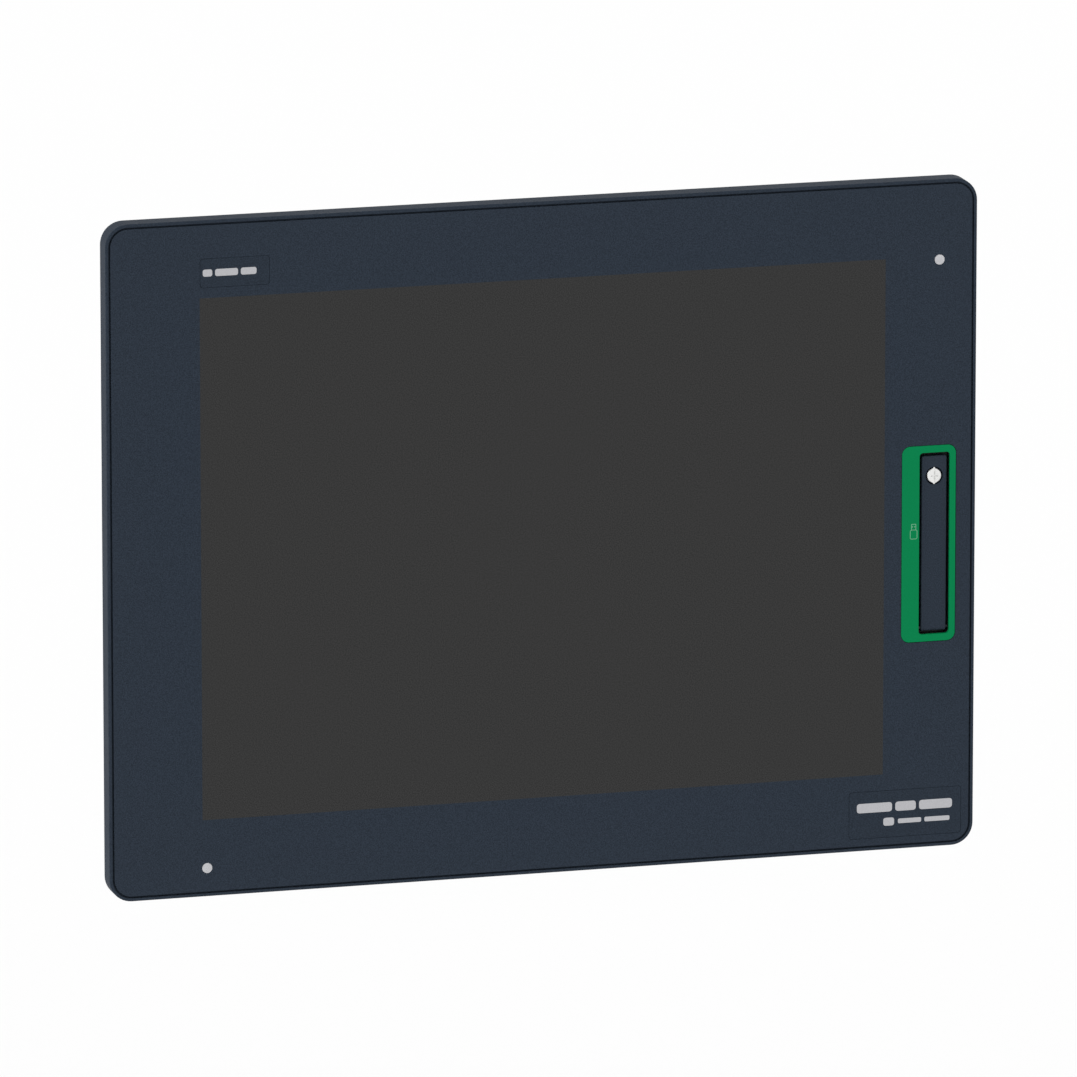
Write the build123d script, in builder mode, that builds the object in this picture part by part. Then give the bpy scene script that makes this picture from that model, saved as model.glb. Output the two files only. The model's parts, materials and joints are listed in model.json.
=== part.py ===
from build123d import *

import os

# Panel-mounted operator terminal with a 12.1 inch touch display and a hinged front USB cover.
#
# Millimetres. X runs to the right as the user sees the front, +Z is up and the front faces -Y.
# The origin is the centre of the panel cut-out, on the plane where the gasket meets the cabinet door.

# ---- clearances and common screw holes ----
FIT = 0.15
PILOT_R = 1.25
SHANK_R = 1.2

# ---- front bezel ----
WIDTH, HEIGHT = 315.0, 241.0
CORNER_R = 8.0
GASKET_PROUD = 0.5
BEZEL_DEPTH = 7.5
BEZEL_BACK = -GASKET_PROUD
FRONT = BEZEL_BACK - BEZEL_DEPTH
RIM = 1.1
RIM_ROUND = 0.4
GROOVE = 0.7
GROOVE_DEPTH = 0.6
FILM = 0.5
PLATEAU = FRONT + FILM
FILM_INSET = RIM + GROOVE

# ---- display stack ----
VIEW_W, VIEW_H = 248.0, 186.0
GLASS_W, GLASS_H, GLASS_T = 258.0, 196.0, 1.8
GLASS_GAP = 0.3
APERTURE_W, APERTURE_H = 252.0, 190.0
LCD_W, LCD_H = 261.0, 203.0
LCD_FRONT, LCD_BACK = -3.6, 5.0
LCD_POCKET_W, LCD_POCKET_H, LCD_POCKET_Y = 263.0, 205.0, -3.9
LCD_WALL = 0.8
TAIL_X, TAIL_W, TAIL_T, TAIL_Z = -60.0, 14.0, 0.15, -107.2

# ---- gasket and panel cut-out ----
SEAL_W, SEAL_H, SEAL_WIDTH, SEAL_DEPTH = 311.4, 237.4, 3.4, 2.0
SEAL_GAP = 0.1

# ---- front lights ----
LIGHT_R = 1.8
PIPE_STEM_R, PIPE_FLANGE_R, PIPE_POCKET_R, PIPE_POCKET_DEPTH = 1.5, 2.5, 2.7, 4.0
SENSOR_LENS_L = 4.3
STATUS_X, STATUS_Z = 143.8, 91.8
SENSOR_X, SENSOR_Z = -122.4, -110.3
PIPE_BACK, SENSOR_BOARD, SENSOR_BOARD_Y = 3.0, 7.0, -3.0

# ---- label plates: centre x, centre z, width, height ----
LABELS = [(-111.4, 101.8, 25.0, 10.4), (132.3, -107.5, 41.5, 17.2)]
LABEL_T, LABEL_R, LABEL_GAP = 0.2, 1.2, 0.15

# ---- front USB hatch ----
FRAME_X, FRAME_Z, FRAME_W, FRAME_H, FRAME_R = 140.4, -10.3, 19.8, 70.8, 3.0
FRAME_PROUD, FRAME_T = 0.05, 1.25
HATCH_X, HATCH_Z, HATCH_W, HATCH_H, HATCH_R = 142.55, -10.3, 11.2, 65.6, 1.3
HATCH_WALL = 1.6
TUB_W, TUB_H, TUB_R = HATCH_W + 2 * HATCH_WALL, HATCH_H + 2 * HATCH_WALL, 2.0
TUB_BACK = -2.0
PORT_FACE = -4.0
COVER_Z, COVER_W, COVER_H, COVER_T, COVER_RECESS = -10.5, 9.1, 63.4, 2.6, 0.7
COVER_FRONT = FRONT + COVER_RECESS
COVER_BACK = COVER_FRONT + COVER_T
COVER_TOP = COVER_Z + COVER_H / 2
COVER_BOTTOM = COVER_Z - COVER_H / 2
HINGE_Y = COVER_FRONT + COVER_T / 2
HINGE_Z = COVER_BOTTOM + COVER_T / 2
PIN_R, PIN_GAP = 0.7, 0.06
SCREW_Z = COVER_TOP - 7.2
SCREW_HEAD_R, SCREW_HEAD_T, SCREW_R = 2.8, 1.6, 1.45
SCREW_WELL_R, SCREW_WELL_DEPTH, SCREW_HOLE_R = 3.2, 1.6, 1.65
WASHER_T = 0.5
SCREW_TIP = -2.0
SLOT_W, SLOT_DEPTH, CROSS_L, CROSS_DEPTH = 0.75, 0.8, 3.2, 1.1
WASHER_R, INSERT_R, INSERT_BACK = 2.6, 2.3, -0.8
MINI_W, MINI_T, MINI_L, MINI_SHEET = 7.7, 3.9, 9.0, 0.4
USB_A_Z, USB_MINI_Z = -6.0, -24.0

# ---- rear housing ----
HOUSING_W, HOUSING_H, HOUSING_R = 299.0, 225.0, 4.0
HOUSING_BACK, HOUSING_WALL, HOUSING_BEVEL = 30.0, 2.5, 3.0
BOSS_R, WELL_R, WELL_FLOOR, BOSS_HOLE_R = 4.2, 3.0, 4.0, 1.7
BOSSES = [(sx * 140.5, sz * 103.0) for sx in (-1, 1) for sz in (-1, 1)]
BOSSES += [(sx * 70.0, sz * 106.0) for sx in (-1, 1) for sz in (-1, 1)]
CLAMP_X, CLAMP_SLOT_Y, CLAMP_SLOT_W, CLAMP_SLOT_L = 100.0, 15.0, 13.6, 6.0
CHASSIS_Y, CHASSIS_T, CHASSIS_W, CHASSIS_H = 5.4, 1.0, 276.0, 198.0
CHASSIS_POSTS = [(sx * 142.2, sz * 75.0) for sx in (-1, 1) for sz in (-1, 1)]
DRIVER_Y, DRIVER_T, DRIVER_X, DRIVER_W, DRIVER_H = 11.5, 1.6, -30.0, 170.0, 100.0
DRIVER_POSTS = [(DRIVER_X + sx * 80.0, sz * 15.0) for sx in (-1, 1) for sz in (-1, 1)]
SPACER_R, BOARD_HOLE_R = 2.8, 1.6

# ---- control box on the back ----
BOX_W, BOX_H, BOX_Z, BOX_DEPTH, BOX_WALL = 214.0, 156.0, -4.0, 20.0, 1.2
BOX_BACK = HOUSING_BACK + BOX_DEPTH
BOX_BOTTOM = BOX_Z - BOX_H / 2
FLANGE_W = 9.0
FLANGE_SCREWS = [(sx * (BOX_W + FLANGE_W) / 2, BOX_Z + dz) for sx in (-1, 1) for dz in (-60, 0, 60)]
BOARD_Y, BOARD_T = HOUSING_BACK + 2.6, 1.6
BOARD_BACK = BOARD_Y + BOARD_T
BOARD_W, BOARD_H = 200.0, 146.0
BOARD_POSTS = [(sx * 95.0, BOX_Z + sz * 66.0) for sx in (-1, 1) for sz in (-1, 1)]
SINK_X, SINK_Z, SINK_W, SINK_H, SINK_BASE, SINK_T, FINS = -30.0, 20.0, 78.0, 50.0, 2.5, 11.5, 12
SINK_FRONT = BOARD_BACK + 2.0

# ---- sockets on the lower edge of the control box: centre x ----
POWER_X, POWER_Y = -82.0, BOARD_BACK + 6.2
POWER_W, POWER_T, POWER_WALL, POWER_DEPTH, POWER_PITCH = 20.2, 11.8, 1.0, 9.4, 5.08
ETHERNET_X = (-56.0, -38.0)
REAR_USB_X = (-18.0, 0.0)
SERIAL_X = (36.0, 76.0)
ETHERNET_W, ETHERNET_T, ETHERNET_L = 16.0, 13.4, 21.0
SHELL_SHEET = 0.4
USB_W, USB_T, USB_L = 13.1, 5.7, 14.0
SERIAL_FLANGE_W, SERIAL_FLANGE_T, SERIAL_Y = 30.8, 12.4, BOARD_BACK + 6.4
JACKSCREW, JACK_HOLE_R = 12.5, 1.6
SERIAL_D_W, SERIAL_D_T, SERIAL_SKIN, SERIAL_REACH = 18.4, 9.4, 0.5, 5.8

# ---- card door on the side of the control box ----
DOOR_Z, DOOR_H, DOOR_Y, DOOR_W, DOOR_T, DOOR_GAP = 20.0, 34.0, BOARD_BACK + 7.0, 11.0, 1.6, 0.3
DOOR_FACE = BOX_W / 2
DOOR_FRAME_WALL, DOOR_FRAME_L = 1.2, 11.2
DOOR_PIN_R = 0.5

os.makedirs("parts", exist_ok=True)


def front_plane(y):
    """Sketch plane at depth y: local x is +X, local y is +Z, and extrude goes towards the front."""
    return Plane.XZ.offset(-y)


def down_plane(z):
    """Sketch plane at height z seen from below: local x is +X, local y is -Y, and extrude goes down."""
    return Plane(origin=(0, 0, z), x_dir=(1, 0, 0), z_dir=(0, 0, -1))


def side_plane(x):
    """Sketch plane at x, facing +X: local x is +Y, local y is +Z, and extrude goes to the right."""
    return Plane(origin=(x, 0, 0), x_dir=(0, 1, 0), z_dir=(1, 0, 0))


def save(piece, label):
    """Write one finished piece as its own STEP file."""
    piece.part.label = label
    export_step(piece.part, f"parts/{label}.step")


def ring_sketch(width, height, corner, band):
    """A rounded rectangular band, drawn in the sketch that is open."""
    RectangleRounded(width, height, corner)
    RectangleRounded(width - 2 * band, height - 2 * band, max(corner - band, 0.3), mode=Mode.SUBTRACT)


# ================================ front bezel ================================

with BuildPart() as front_bezel:
    with BuildSketch(front_plane(BEZEL_BACK)):
        RectangleRounded(WIDTH, HEIGHT, CORNER_R)
    extrude(amount=BEZEL_DEPTH)
    fillet(front_bezel.faces().sort_by(Axis.Y)[0].edges(), radius=RIM_ROUND)
    # pocket for the film, with a deeper groove round its edge
    with BuildSketch(front_plane(PLATEAU)):
        RectangleRounded(WIDTH - 2 * RIM, HEIGHT - 2 * RIM, CORNER_R - RIM)
    extrude(amount=FILM, mode=Mode.SUBTRACT)
    with BuildSketch(front_plane(PLATEAU + GROOVE_DEPTH)):
        ring_sketch(WIDTH - 2 * RIM, HEIGHT - 2 * RIM, CORNER_R - RIM, GROOVE)
    extrude(amount=GROOVE_DEPTH, mode=Mode.SUBTRACT)
    # step for the touch glass, aperture for the picture, pocket for the display behind
    with BuildSketch(front_plane(PLATEAU + GLASS_T)):
        RectangleRounded(GLASS_W + 2 * GLASS_GAP, GLASS_H + 2 * GLASS_GAP, 1.5)
    extrude(amount=GLASS_T, mode=Mode.SUBTRACT)
    with BuildSketch(front_plane(BEZEL_BACK)):
        RectangleRounded(APERTURE_W, APERTURE_H, 1.0)
    extrude(amount=BEZEL_DEPTH, mode=Mode.SUBTRACT)
    with BuildSketch(front_plane(BEZEL_BACK)):
        RectangleRounded(LCD_POCKET_W, LCD_POCKET_H, 2.0)
    extrude(amount=BEZEL_BACK - LCD_POCKET_Y, mode=Mode.SUBTRACT)
    # seat for the USB frame and a hole for the port tub behind it
    with BuildSketch(front_plane(FRONT - FRAME_PROUD + FRAME_T)):
        with Locations((FRAME_X, FRAME_Z)):
            RectangleRounded(FRAME_W + 2 * FIT, FRAME_H + 2 * FIT, FRAME_R + FIT)
    extrude(amount=FRAME_T, mode=Mode.SUBTRACT)
    with BuildSketch(front_plane(BEZEL_BACK)):
        with Locations((HATCH_X, HATCH_Z)):
            RectangleRounded(TUB_W + 2 * FIT, TUB_H + 2 * FIT, TUB_R + FIT)
    extrude(amount=BEZEL_DEPTH, mode=Mode.SUBTRACT)
    # gasket groove in the back
    with BuildSketch(front_plane(BEZEL_BACK)):
        ring_sketch(SEAL_W, SEAL_H, CORNER_R - 2, SEAL_WIDTH)
    extrude(amount=SEAL_DEPTH, mode=Mode.SUBTRACT)
    # light pipe hole, sensor hole and screw holes
    with Locations(front_plane(FRONT)):
        with Locations((STATUS_X, STATUS_Z)):
            Hole(radius=LIGHT_R + 0.1)
    with Locations(front_plane(PLATEAU)):
        with Locations((SENSOR_X, SENSOR_Z)):
            Hole(radius=LIGHT_R + 0.1, depth=5.0)
    with BuildSketch(front_plane(BEZEL_BACK)):
        with Locations((STATUS_X, STATUS_Z)):
            Circle(PIPE_POCKET_R)
    extrude(amount=PIPE_POCKET_DEPTH, mode=Mode.SUBTRACT)
    with BuildSketch(front_plane(BEZEL_BACK)):
        with Locations(*BOSSES):
            Circle(PILOT_R)
    extrude(amount=5.0, mode=Mode.SUBTRACT)
    # slot for the touch tail, pocket for the light sensor's board
    with BuildSketch(front_plane(BEZEL_BACK)):
        with Locations((TAIL_X + TAIL_W / 2, (TAIL_Z - APERTURE_H / 2) / 2)):
            Rectangle(TAIL_W + 2, -TAIL_Z - APERTURE_H / 2 + 4)
    extrude(amount=BEZEL_BACK - PLATEAU - GLASS_T, mode=Mode.SUBTRACT)
    with BuildSketch(front_plane(BEZEL_BACK)):
        with Locations((SENSOR_X, SENSOR_Z + 1.0)):
            Rectangle(SENSOR_BOARD + 0.6, SENSOR_BOARD + 0.6)
    extrude(amount=BEZEL_BACK - SENSOR_BOARD_Y, mode=Mode.SUBTRACT)
save(front_bezel, "front_bezel")

with BuildPart() as overlay_film:
    with BuildSketch(front_plane(PLATEAU)):
        RectangleRounded(WIDTH - 2 * FILM_INSET, HEIGHT - 2 * FILM_INSET, CORNER_R - FILM_INSET)
        Rectangle(VIEW_W, VIEW_H, mode=Mode.SUBTRACT)
        with Locations((FRAME_X, FRAME_Z)):
            RectangleRounded(FRAME_W + 2 * FIT, FRAME_H + 2 * FIT, FRAME_R + FIT, mode=Mode.SUBTRACT)
        with Locations((STATUS_X, STATUS_Z), (SENSOR_X, SENSOR_Z)):
            Circle(LIGHT_R + 0.08, mode=Mode.SUBTRACT)
    extrude(amount=FILM)
    with BuildSketch(front_plane(FRONT + LABEL_T)):
        for label_x, label_z, label_w, label_h in LABELS:
            with Locations((label_x, label_z)):
                RectangleRounded(label_w, label_h, LABEL_R)
    extrude(amount=LABEL_T, mode=Mode.SUBTRACT)
save(overlay_film, "overlay_film")

with BuildPart() as label_plates:
    with BuildSketch(front_plane(FRONT + LABEL_T)):
        for label_x, label_z, label_w, label_h in LABELS:
            with Locations((label_x, label_z)):
                RectangleRounded(label_w - 2 * LABEL_GAP, label_h - 2 * LABEL_GAP, LABEL_R - LABEL_GAP)
    extrude(amount=LABEL_T)
save(label_plates, "label_plates")

with BuildPart() as panel_gasket:
    with BuildSketch(front_plane(0)):
        inset = 2 * SEAL_GAP
        ring_sketch(SEAL_W - inset, SEAL_H - inset, CORNER_R - 2 - SEAL_GAP, SEAL_WIDTH - inset)
    extrude(amount=SEAL_DEPTH + GASKET_PROUD - SEAL_GAP)
    fillet(panel_gasket.faces().sort_by(Axis.Y)[-1].edges(), radius=0.6)
save(panel_gasket, "panel_gasket")

# ================================ touch screen and display ================================

with BuildPart() as touch_film:
    with BuildSketch(front_plane(PLATEAU)):
        Rectangle(VIEW_W, VIEW_H)
    extrude(amount=FILM)
save(touch_film, "touch_film")

with BuildPart() as touch_glass:
    with BuildSketch(front_plane(PLATEAU + GLASS_T)):
        RectangleRounded(GLASS_W, GLASS_H, 1.0)
    extrude(amount=GLASS_T)
save(touch_glass, "touch_glass")

with BuildPart() as dust_seal:
    with BuildSketch(front_plane(LCD_FRONT)):
        ring_sketch(APERTURE_W - 0.4, APERTURE_H - 0.4, 0.8, 1.4)
    extrude(amount=LCD_FRONT - PLATEAU - GLASS_T)
save(dust_seal, "dust_seal")

with BuildPart() as lcd_frame:
    with BuildSketch(front_plane(LCD_BACK)):
        RectangleRounded(LCD_W, LCD_H, 1.0)
    extrude(amount=LCD_BACK - LCD_FRONT)
    with BuildSketch(front_plane(LCD_BACK)):
        Rectangle(LCD_W - 2 * LCD_WALL, LCD_H - 2 * LCD_WALL)
    extrude(amount=LCD_BACK - LCD_FRONT - LCD_WALL, mode=Mode.SUBTRACT)
    with BuildSketch(front_plane(LCD_BACK)):
        Rectangle(VIEW_W + 1.0, VIEW_H + 1.0)
    extrude(amount=LCD_BACK - LCD_FRONT, mode=Mode.SUBTRACT)
save(lcd_frame, "lcd_frame")

LCD_CORE_W, LCD_CORE_H = LCD_W - 2 * LCD_WALL - 1, LCD_H - 2 * LCD_WALL - 1
for label, back, thickness in (
    ("lcd_cell", LCD_FRONT + LCD_WALL + 1.6, 1.6),
    ("backlight_guide", LCD_BACK - 1.2, 4.6),
    ("lcd_back_plate", LCD_BACK - 0.1, 0.8),
):
    with BuildPart() as layer:
        with BuildSketch(front_plane(back)):
            Rectangle(LCD_CORE_W, LCD_CORE_H)
        extrude(amount=thickness)
    save(layer, label)

with BuildPart() as touch_tail:
    # flat flex: out from behind the glass, past the display, then up to the driver board's face
    with BuildSketch(side_plane(TAIL_X)):
        with BuildLine():
            tail_start = PLATEAU + GLASS_T + TAIL_T
            tail_end = DRIVER_Y - 0.3
            tail_path = FilletPolyline(
                (tail_start, -APERTURE_H / 2 - 1.2),
                (tail_start, TAIL_Z),
                (tail_end, TAIL_Z),
                (tail_end, -DRIVER_H / 2 + 5),
                radius=1.6,
            )
            offset(tail_path, amount=TAIL_T, side=Side.LEFT)
        make_face()
    extrude(amount=TAIL_W)
save(touch_tail, "touch_tail")

# ================================ status light and light sensor ================================

with BuildPart() as status_light_pipe:
    for back, front, radius in (
        (PIPE_BACK, FRONT, PIPE_STEM_R),
        (-3.0, FRONT, LIGHT_R),
        (-2.5, -4.4, PIPE_FLANGE_R),
    ):
        with BuildSketch(front_plane(back)):
            with Locations((STATUS_X, STATUS_Z)):
                Circle(radius)
        extrude(amount=back - front)
save(status_light_pipe, "status_light_pipe")

with BuildPart() as status_led_board:
    with BuildSketch(front_plane(PIPE_BACK + 2.2)):
        with Locations((STATUS_X - 1.0, STATUS_Z - 3.0)):
            Rectangle(6.0, 16.0)
    extrude(amount=1.2)
    with BuildSketch(front_plane(PIPE_BACK + 1.0)):
        with Locations((STATUS_X, STATUS_Z)):
            Rectangle(2.0, 2.8)
    extrude(amount=0.8)
save(status_led_board, "status_led_board")

with BuildPart() as light_sensor_lens:
    with BuildSketch(front_plane(PLATEAU + SENSOR_LENS_L)):
        with Locations((SENSOR_X, SENSOR_Z)):
            Circle(LIGHT_R)
    extrude(amount=SENSOR_LENS_L + FILM)
save(light_sensor_lens, "light_sensor_lens")

with BuildPart() as light_sensor_board:
    with BuildSketch(front_plane(SENSOR_BOARD_Y + 1.3)):
        with Locations((SENSOR_X, SENSOR_Z + 1.0)):
            Rectangle(SENSOR_BOARD, SENSOR_BOARD)
    extrude(amount=1.0)
save(light_sensor_board, "light_sensor_board")

# ================================ front USB hatch ================================

with BuildPart() as usb_frame:
    with BuildSketch(front_plane(FRONT - FRAME_PROUD + FRAME_T)):
        with Locations((FRAME_X, FRAME_Z)):
            RectangleRounded(FRAME_W, FRAME_H, FRAME_R)
    extrude(amount=FRAME_T)
    with BuildSketch(front_plane(FRONT - FRAME_PROUD + FRAME_T)):
        with Locations((HATCH_X, HATCH_Z)):
            RectangleRounded(HATCH_W, HATCH_H, HATCH_R)
    extrude(amount=FRAME_T, mode=Mode.SUBTRACT)
    fillet(usb_frame.faces().sort_by(Axis.Y)[0].edges(), radius=0.2)
save(usb_frame, "usb_frame")

TUB_FRONT = FRONT - FRAME_PROUD + FRAME_T
with BuildPart() as port_tub:
    with BuildSketch(front_plane(TUB_BACK)):
        with Locations((HATCH_X, HATCH_Z)):
            RectangleRounded(TUB_W, TUB_H, TUB_R)
    extrude(amount=TUB_BACK - TUB_FRONT)
    with BuildSketch(front_plane(PORT_FACE)):
        with Locations((HATCH_X, HATCH_Z)):
            RectangleRounded(HATCH_W, HATCH_H, HATCH_R)
    extrude(amount=PORT_FACE - TUB_FRONT, mode=Mode.SUBTRACT)
    with BuildSketch(front_plane(TUB_BACK)):
        with Locations((HATCH_X, USB_A_Z)):
            RectangleRounded(USB_T + 2 * FIT, USB_W + 2 * FIT, 0.5)
        with Locations((HATCH_X, USB_MINI_Z)):
            RectangleRounded(MINI_T + 2 * FIT, MINI_W + 2 * FIT, 0.6)
        with Locations((HATCH_X, SCREW_Z)):
            Circle(INSERT_R + 0.05)
    extrude(amount=TUB_BACK - PORT_FACE, mode=Mode.SUBTRACT)
    # notches that hold the hinge pin, open to the front and closed by the frame
    with BuildSketch(side_plane(HATCH_X - HATCH_W / 2 - HATCH_WALL + 0.4)):
        with Locations((HINGE_Y, HINGE_Z)):
            Circle(PIN_R + 0.02)
        with Locations(((HINGE_Y + TUB_FRONT) / 2, HINGE_Z)):
            Rectangle(HINGE_Y - TUB_FRONT, 2 * PIN_R + 0.04)
    extrude(amount=HATCH_W + 2 * HATCH_WALL - 0.8, mode=Mode.SUBTRACT)
save(port_tub, "port_tub")

with BuildPart() as usb_hinge_pin:
    with BuildSketch(side_plane(HATCH_X - HATCH_W / 2 - 1.0)):
        with Locations((HINGE_Y, HINGE_Z)):
            Circle(PIN_R)
    extrude(amount=HATCH_W + 2.0)
save(usb_hinge_pin, "usb_hinge_pin")

SEAL_RING_W, SEAL_RING_H, SEAL_RING_Z = 8.3, 45.0, -13.5
with BuildPart() as usb_cover:
    # side profile with a full round at the hinge end
    with BuildSketch(side_plane(HATCH_X - COVER_W / 2)):
        with Locations((HINGE_Y, (COVER_TOP + HINGE_Z) / 2)):
            Rectangle(COVER_T, COVER_TOP - HINGE_Z)
        with Locations((HINGE_Y, HINGE_Z)):
            Circle(COVER_T / 2)
    extrude(amount=COVER_W)
    fillet(usb_cover.edges().filter_by(Axis.Y).sort_by(Axis.Z)[-2:], radius=0.8)
    top_face_edges = usb_cover.edges().filter_by(Axis.X).sort_by(Axis.Z)[-2:]
    fillet(top_face_edges.sort_by(Axis.Y)[:1], radius=0.3)
    with Locations(Plane(origin=(0, 0, 0), x_dir=(1, 0, 0), z_dir=(0, -1, 0)).offset(-COVER_FRONT)):
        with Locations((HATCH_X, SCREW_Z)):
            CounterBoreHole(SCREW_HOLE_R, SCREW_WELL_R, SCREW_WELL_DEPTH, depth=COVER_T + 1)
    with BuildSketch(front_plane(COVER_BACK)):
        with Locations((HATCH_X, SEAL_RING_Z)):
            ring_sketch(SEAL_RING_W, SEAL_RING_H, 1.5, 0.9)
    extrude(amount=0.6, mode=Mode.SUBTRACT)
    with BuildSketch(side_plane(HATCH_X - COVER_W / 2)):
        with Locations((HINGE_Y, HINGE_Z)):
            Circle(PIN_R + PIN_GAP)
    extrude(amount=COVER_W, mode=Mode.SUBTRACT)
save(usb_cover, "usb_cover")

with BuildPart() as usb_cover_seal:
    with BuildSketch(front_plane(PORT_FACE - 0.05)):
        with Locations((HATCH_X, SEAL_RING_Z)):
            ring_sketch(SEAL_RING_W - 0.1, SEAL_RING_H - 0.1, 1.45, 0.8)
    extrude(amount=PORT_FACE - 0.05 - (COVER_BACK - 0.6))
save(usb_cover_seal, "usb_cover_seal")

WELL_FLOOR_Y = COVER_FRONT + SCREW_WELL_DEPTH
with BuildPart() as cover_screw_washer:
    with BuildSketch(front_plane(WELL_FLOOR_Y)):
        with Locations((HATCH_X, SCREW_Z)):
            Circle(WASHER_R)
            Circle(SCREW_R + 0.1, mode=Mode.SUBTRACT)
    extrude(amount=WASHER_T - 0.02)
save(cover_screw_washer, "cover_screw_washer")

HEAD_BACK = WELL_FLOOR_Y - WASHER_T
HEAD_FRONT = HEAD_BACK - SCREW_HEAD_T
with BuildPart() as cover_screw:
    with BuildSketch(front_plane(HEAD_BACK)):
        with Locations((HATCH_X, SCREW_Z)):
            Circle(SCREW_HEAD_R)
    extrude(amount=SCREW_HEAD_T)
    fillet(cover_screw.faces().sort_by(Axis.Y)[0].edges(), radius=0.7)
    with BuildSketch(front_plane(SCREW_TIP)):
        with Locations((HATCH_X, SCREW_Z)):
            Circle(SCREW_R)
    extrude(amount=SCREW_TIP - HEAD_BACK)
    chamfer(cover_screw.faces().sort_by(Axis.Y)[-1].edges(), length=0.4)
    # full-width slot and a shorter cross wing
    with BuildSketch(front_plane(HEAD_FRONT + SLOT_DEPTH)):
        with Locations((HATCH_X, SCREW_Z)):
            Rectangle(SLOT_W, 2 * SCREW_HEAD_R + 1)
    extrude(amount=SLOT_DEPTH, mode=Mode.SUBTRACT)
    with BuildSketch(front_plane(HEAD_FRONT + CROSS_DEPTH)):
        with Locations((HATCH_X, SCREW_Z)):
            Rectangle(CROSS_L, SLOT_W)
            Rectangle(SLOT_W, CROSS_L)
    extrude(amount=CROSS_DEPTH, mode=Mode.SUBTRACT)
save(cover_screw, "cover_screw")

with BuildPart() as cover_screw_insert:
    with BuildSketch(front_plane(INSERT_BACK)):
        with Locations((HATCH_X, SCREW_Z)):
            Circle(INSERT_R)
            Circle(SCREW_HOLE_R, mode=Mode.SUBTRACT)
    extrude(amount=INSERT_BACK - PORT_FACE)
save(cover_screw_insert, "cover_screw_insert")


def usb_a_shell(plane, centres):
    """Folded steel shells of type A sockets, open to the front of the plane, one for each centre."""
    with BuildPart() as shell:
        with BuildSketch(plane):
            with Locations(*centres):
                RectangleRounded(USB_W, USB_T, 0.5)
        extrude(amount=-USB_L)
        with BuildSketch(plane):
            with Locations(*centres):
                RectangleRounded(USB_W - 2 * SHELL_SHEET, USB_T - 2 * SHELL_SHEET, 0.2)
        extrude(amount=-(USB_L - 1.0), mode=Mode.SUBTRACT)
    return shell


def usb_a_insert(plane, centres):
    """Tongues that carry the contacts inside type A sockets, with four contact strips each."""
    with BuildPart() as insert:
        with BuildSketch(plane.offset(-(USB_L - 1.0))):
            with Locations(*centres):
                Rectangle(USB_W - 2 * SHELL_SHEET - 0.1, USB_T - 2 * SHELL_SHEET - 0.1)
        extrude(amount=3.4)
        with BuildSketch(plane.offset(-(USB_L - 1.0))):
            with Locations(*[(cx, cy + 0.9) for cx, cy in centres]):
                Rectangle(11.1, 1.8)
        extrude(amount=USB_L - 2.0)
        with BuildSketch(plane.offset(-(USB_L - 1.0))):
            with Locations(*[(cx + dx, cy - 0.1) for cx, cy in centres for dx in (-3.5, -1, 1, 3.5)]):
                Rectangle(1.0, 0.3)
        extrude(amount=USB_L - 2.6)
    return insert


# the front sockets stand upright, so their plane is turned a quarter turn about -Y
upright_plane = Plane(origin=(HATCH_X, PORT_FACE + 0.1, 0), x_dir=(0, 0, 1), z_dir=(0, -1, 0))
save(usb_a_shell(upright_plane, [(USB_A_Z, 0)]), "front_usb_a_shell")
save(usb_a_insert(upright_plane, [(USB_A_Z, 0)]), "front_usb_a_insert")

MINI_INSIDE = MINI_L - 2 * MINI_SHEET
with BuildPart() as front_usb_mini_shell:
    with BuildSketch(upright_plane):
        with Locations((USB_MINI_Z, 0)):
            RectangleRounded(MINI_W, MINI_T, 0.6)
    extrude(amount=-MINI_L)
    with BuildSketch(upright_plane):
        with Locations((USB_MINI_Z, 0)):
            RectangleRounded(MINI_W - 2 * MINI_SHEET, MINI_T - 2 * MINI_SHEET, 0.3)
    extrude(amount=-MINI_INSIDE, mode=Mode.SUBTRACT)
save(front_usb_mini_shell, "front_usb_mini_shell")

with BuildPart() as front_usb_mini_insert:
    with BuildSketch(upright_plane.offset(-MINI_INSIDE)):
        with Locations((USB_MINI_Z, 0)):
            RectangleRounded(MINI_W - 2 * MINI_SHEET - 0.1, MINI_T - 2 * MINI_SHEET - 0.1, 0.3)
    extrude(amount=2.0)
    # tongue that carries the five contacts
    with BuildSketch(upright_plane.offset(-MINI_INSIDE)):
        with Locations((USB_MINI_Z, 0.2)):
            Rectangle(4.2, 0.9)
    extrude(amount=MINI_INSIDE - 1.0)
save(front_usb_mini_insert, "front_usb_mini_insert")

with BuildPart() as front_io_board:
    with BuildSketch(side_plane(HATCH_X + USB_T / 2 + 0.05)):
        with Locations((5.75, -11.0)):
            Rectangle(14.5, 50.0)
    extrude(amount=1.2)
save(front_io_board, "front_io_board")

# ================================ rear housing ================================

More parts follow.
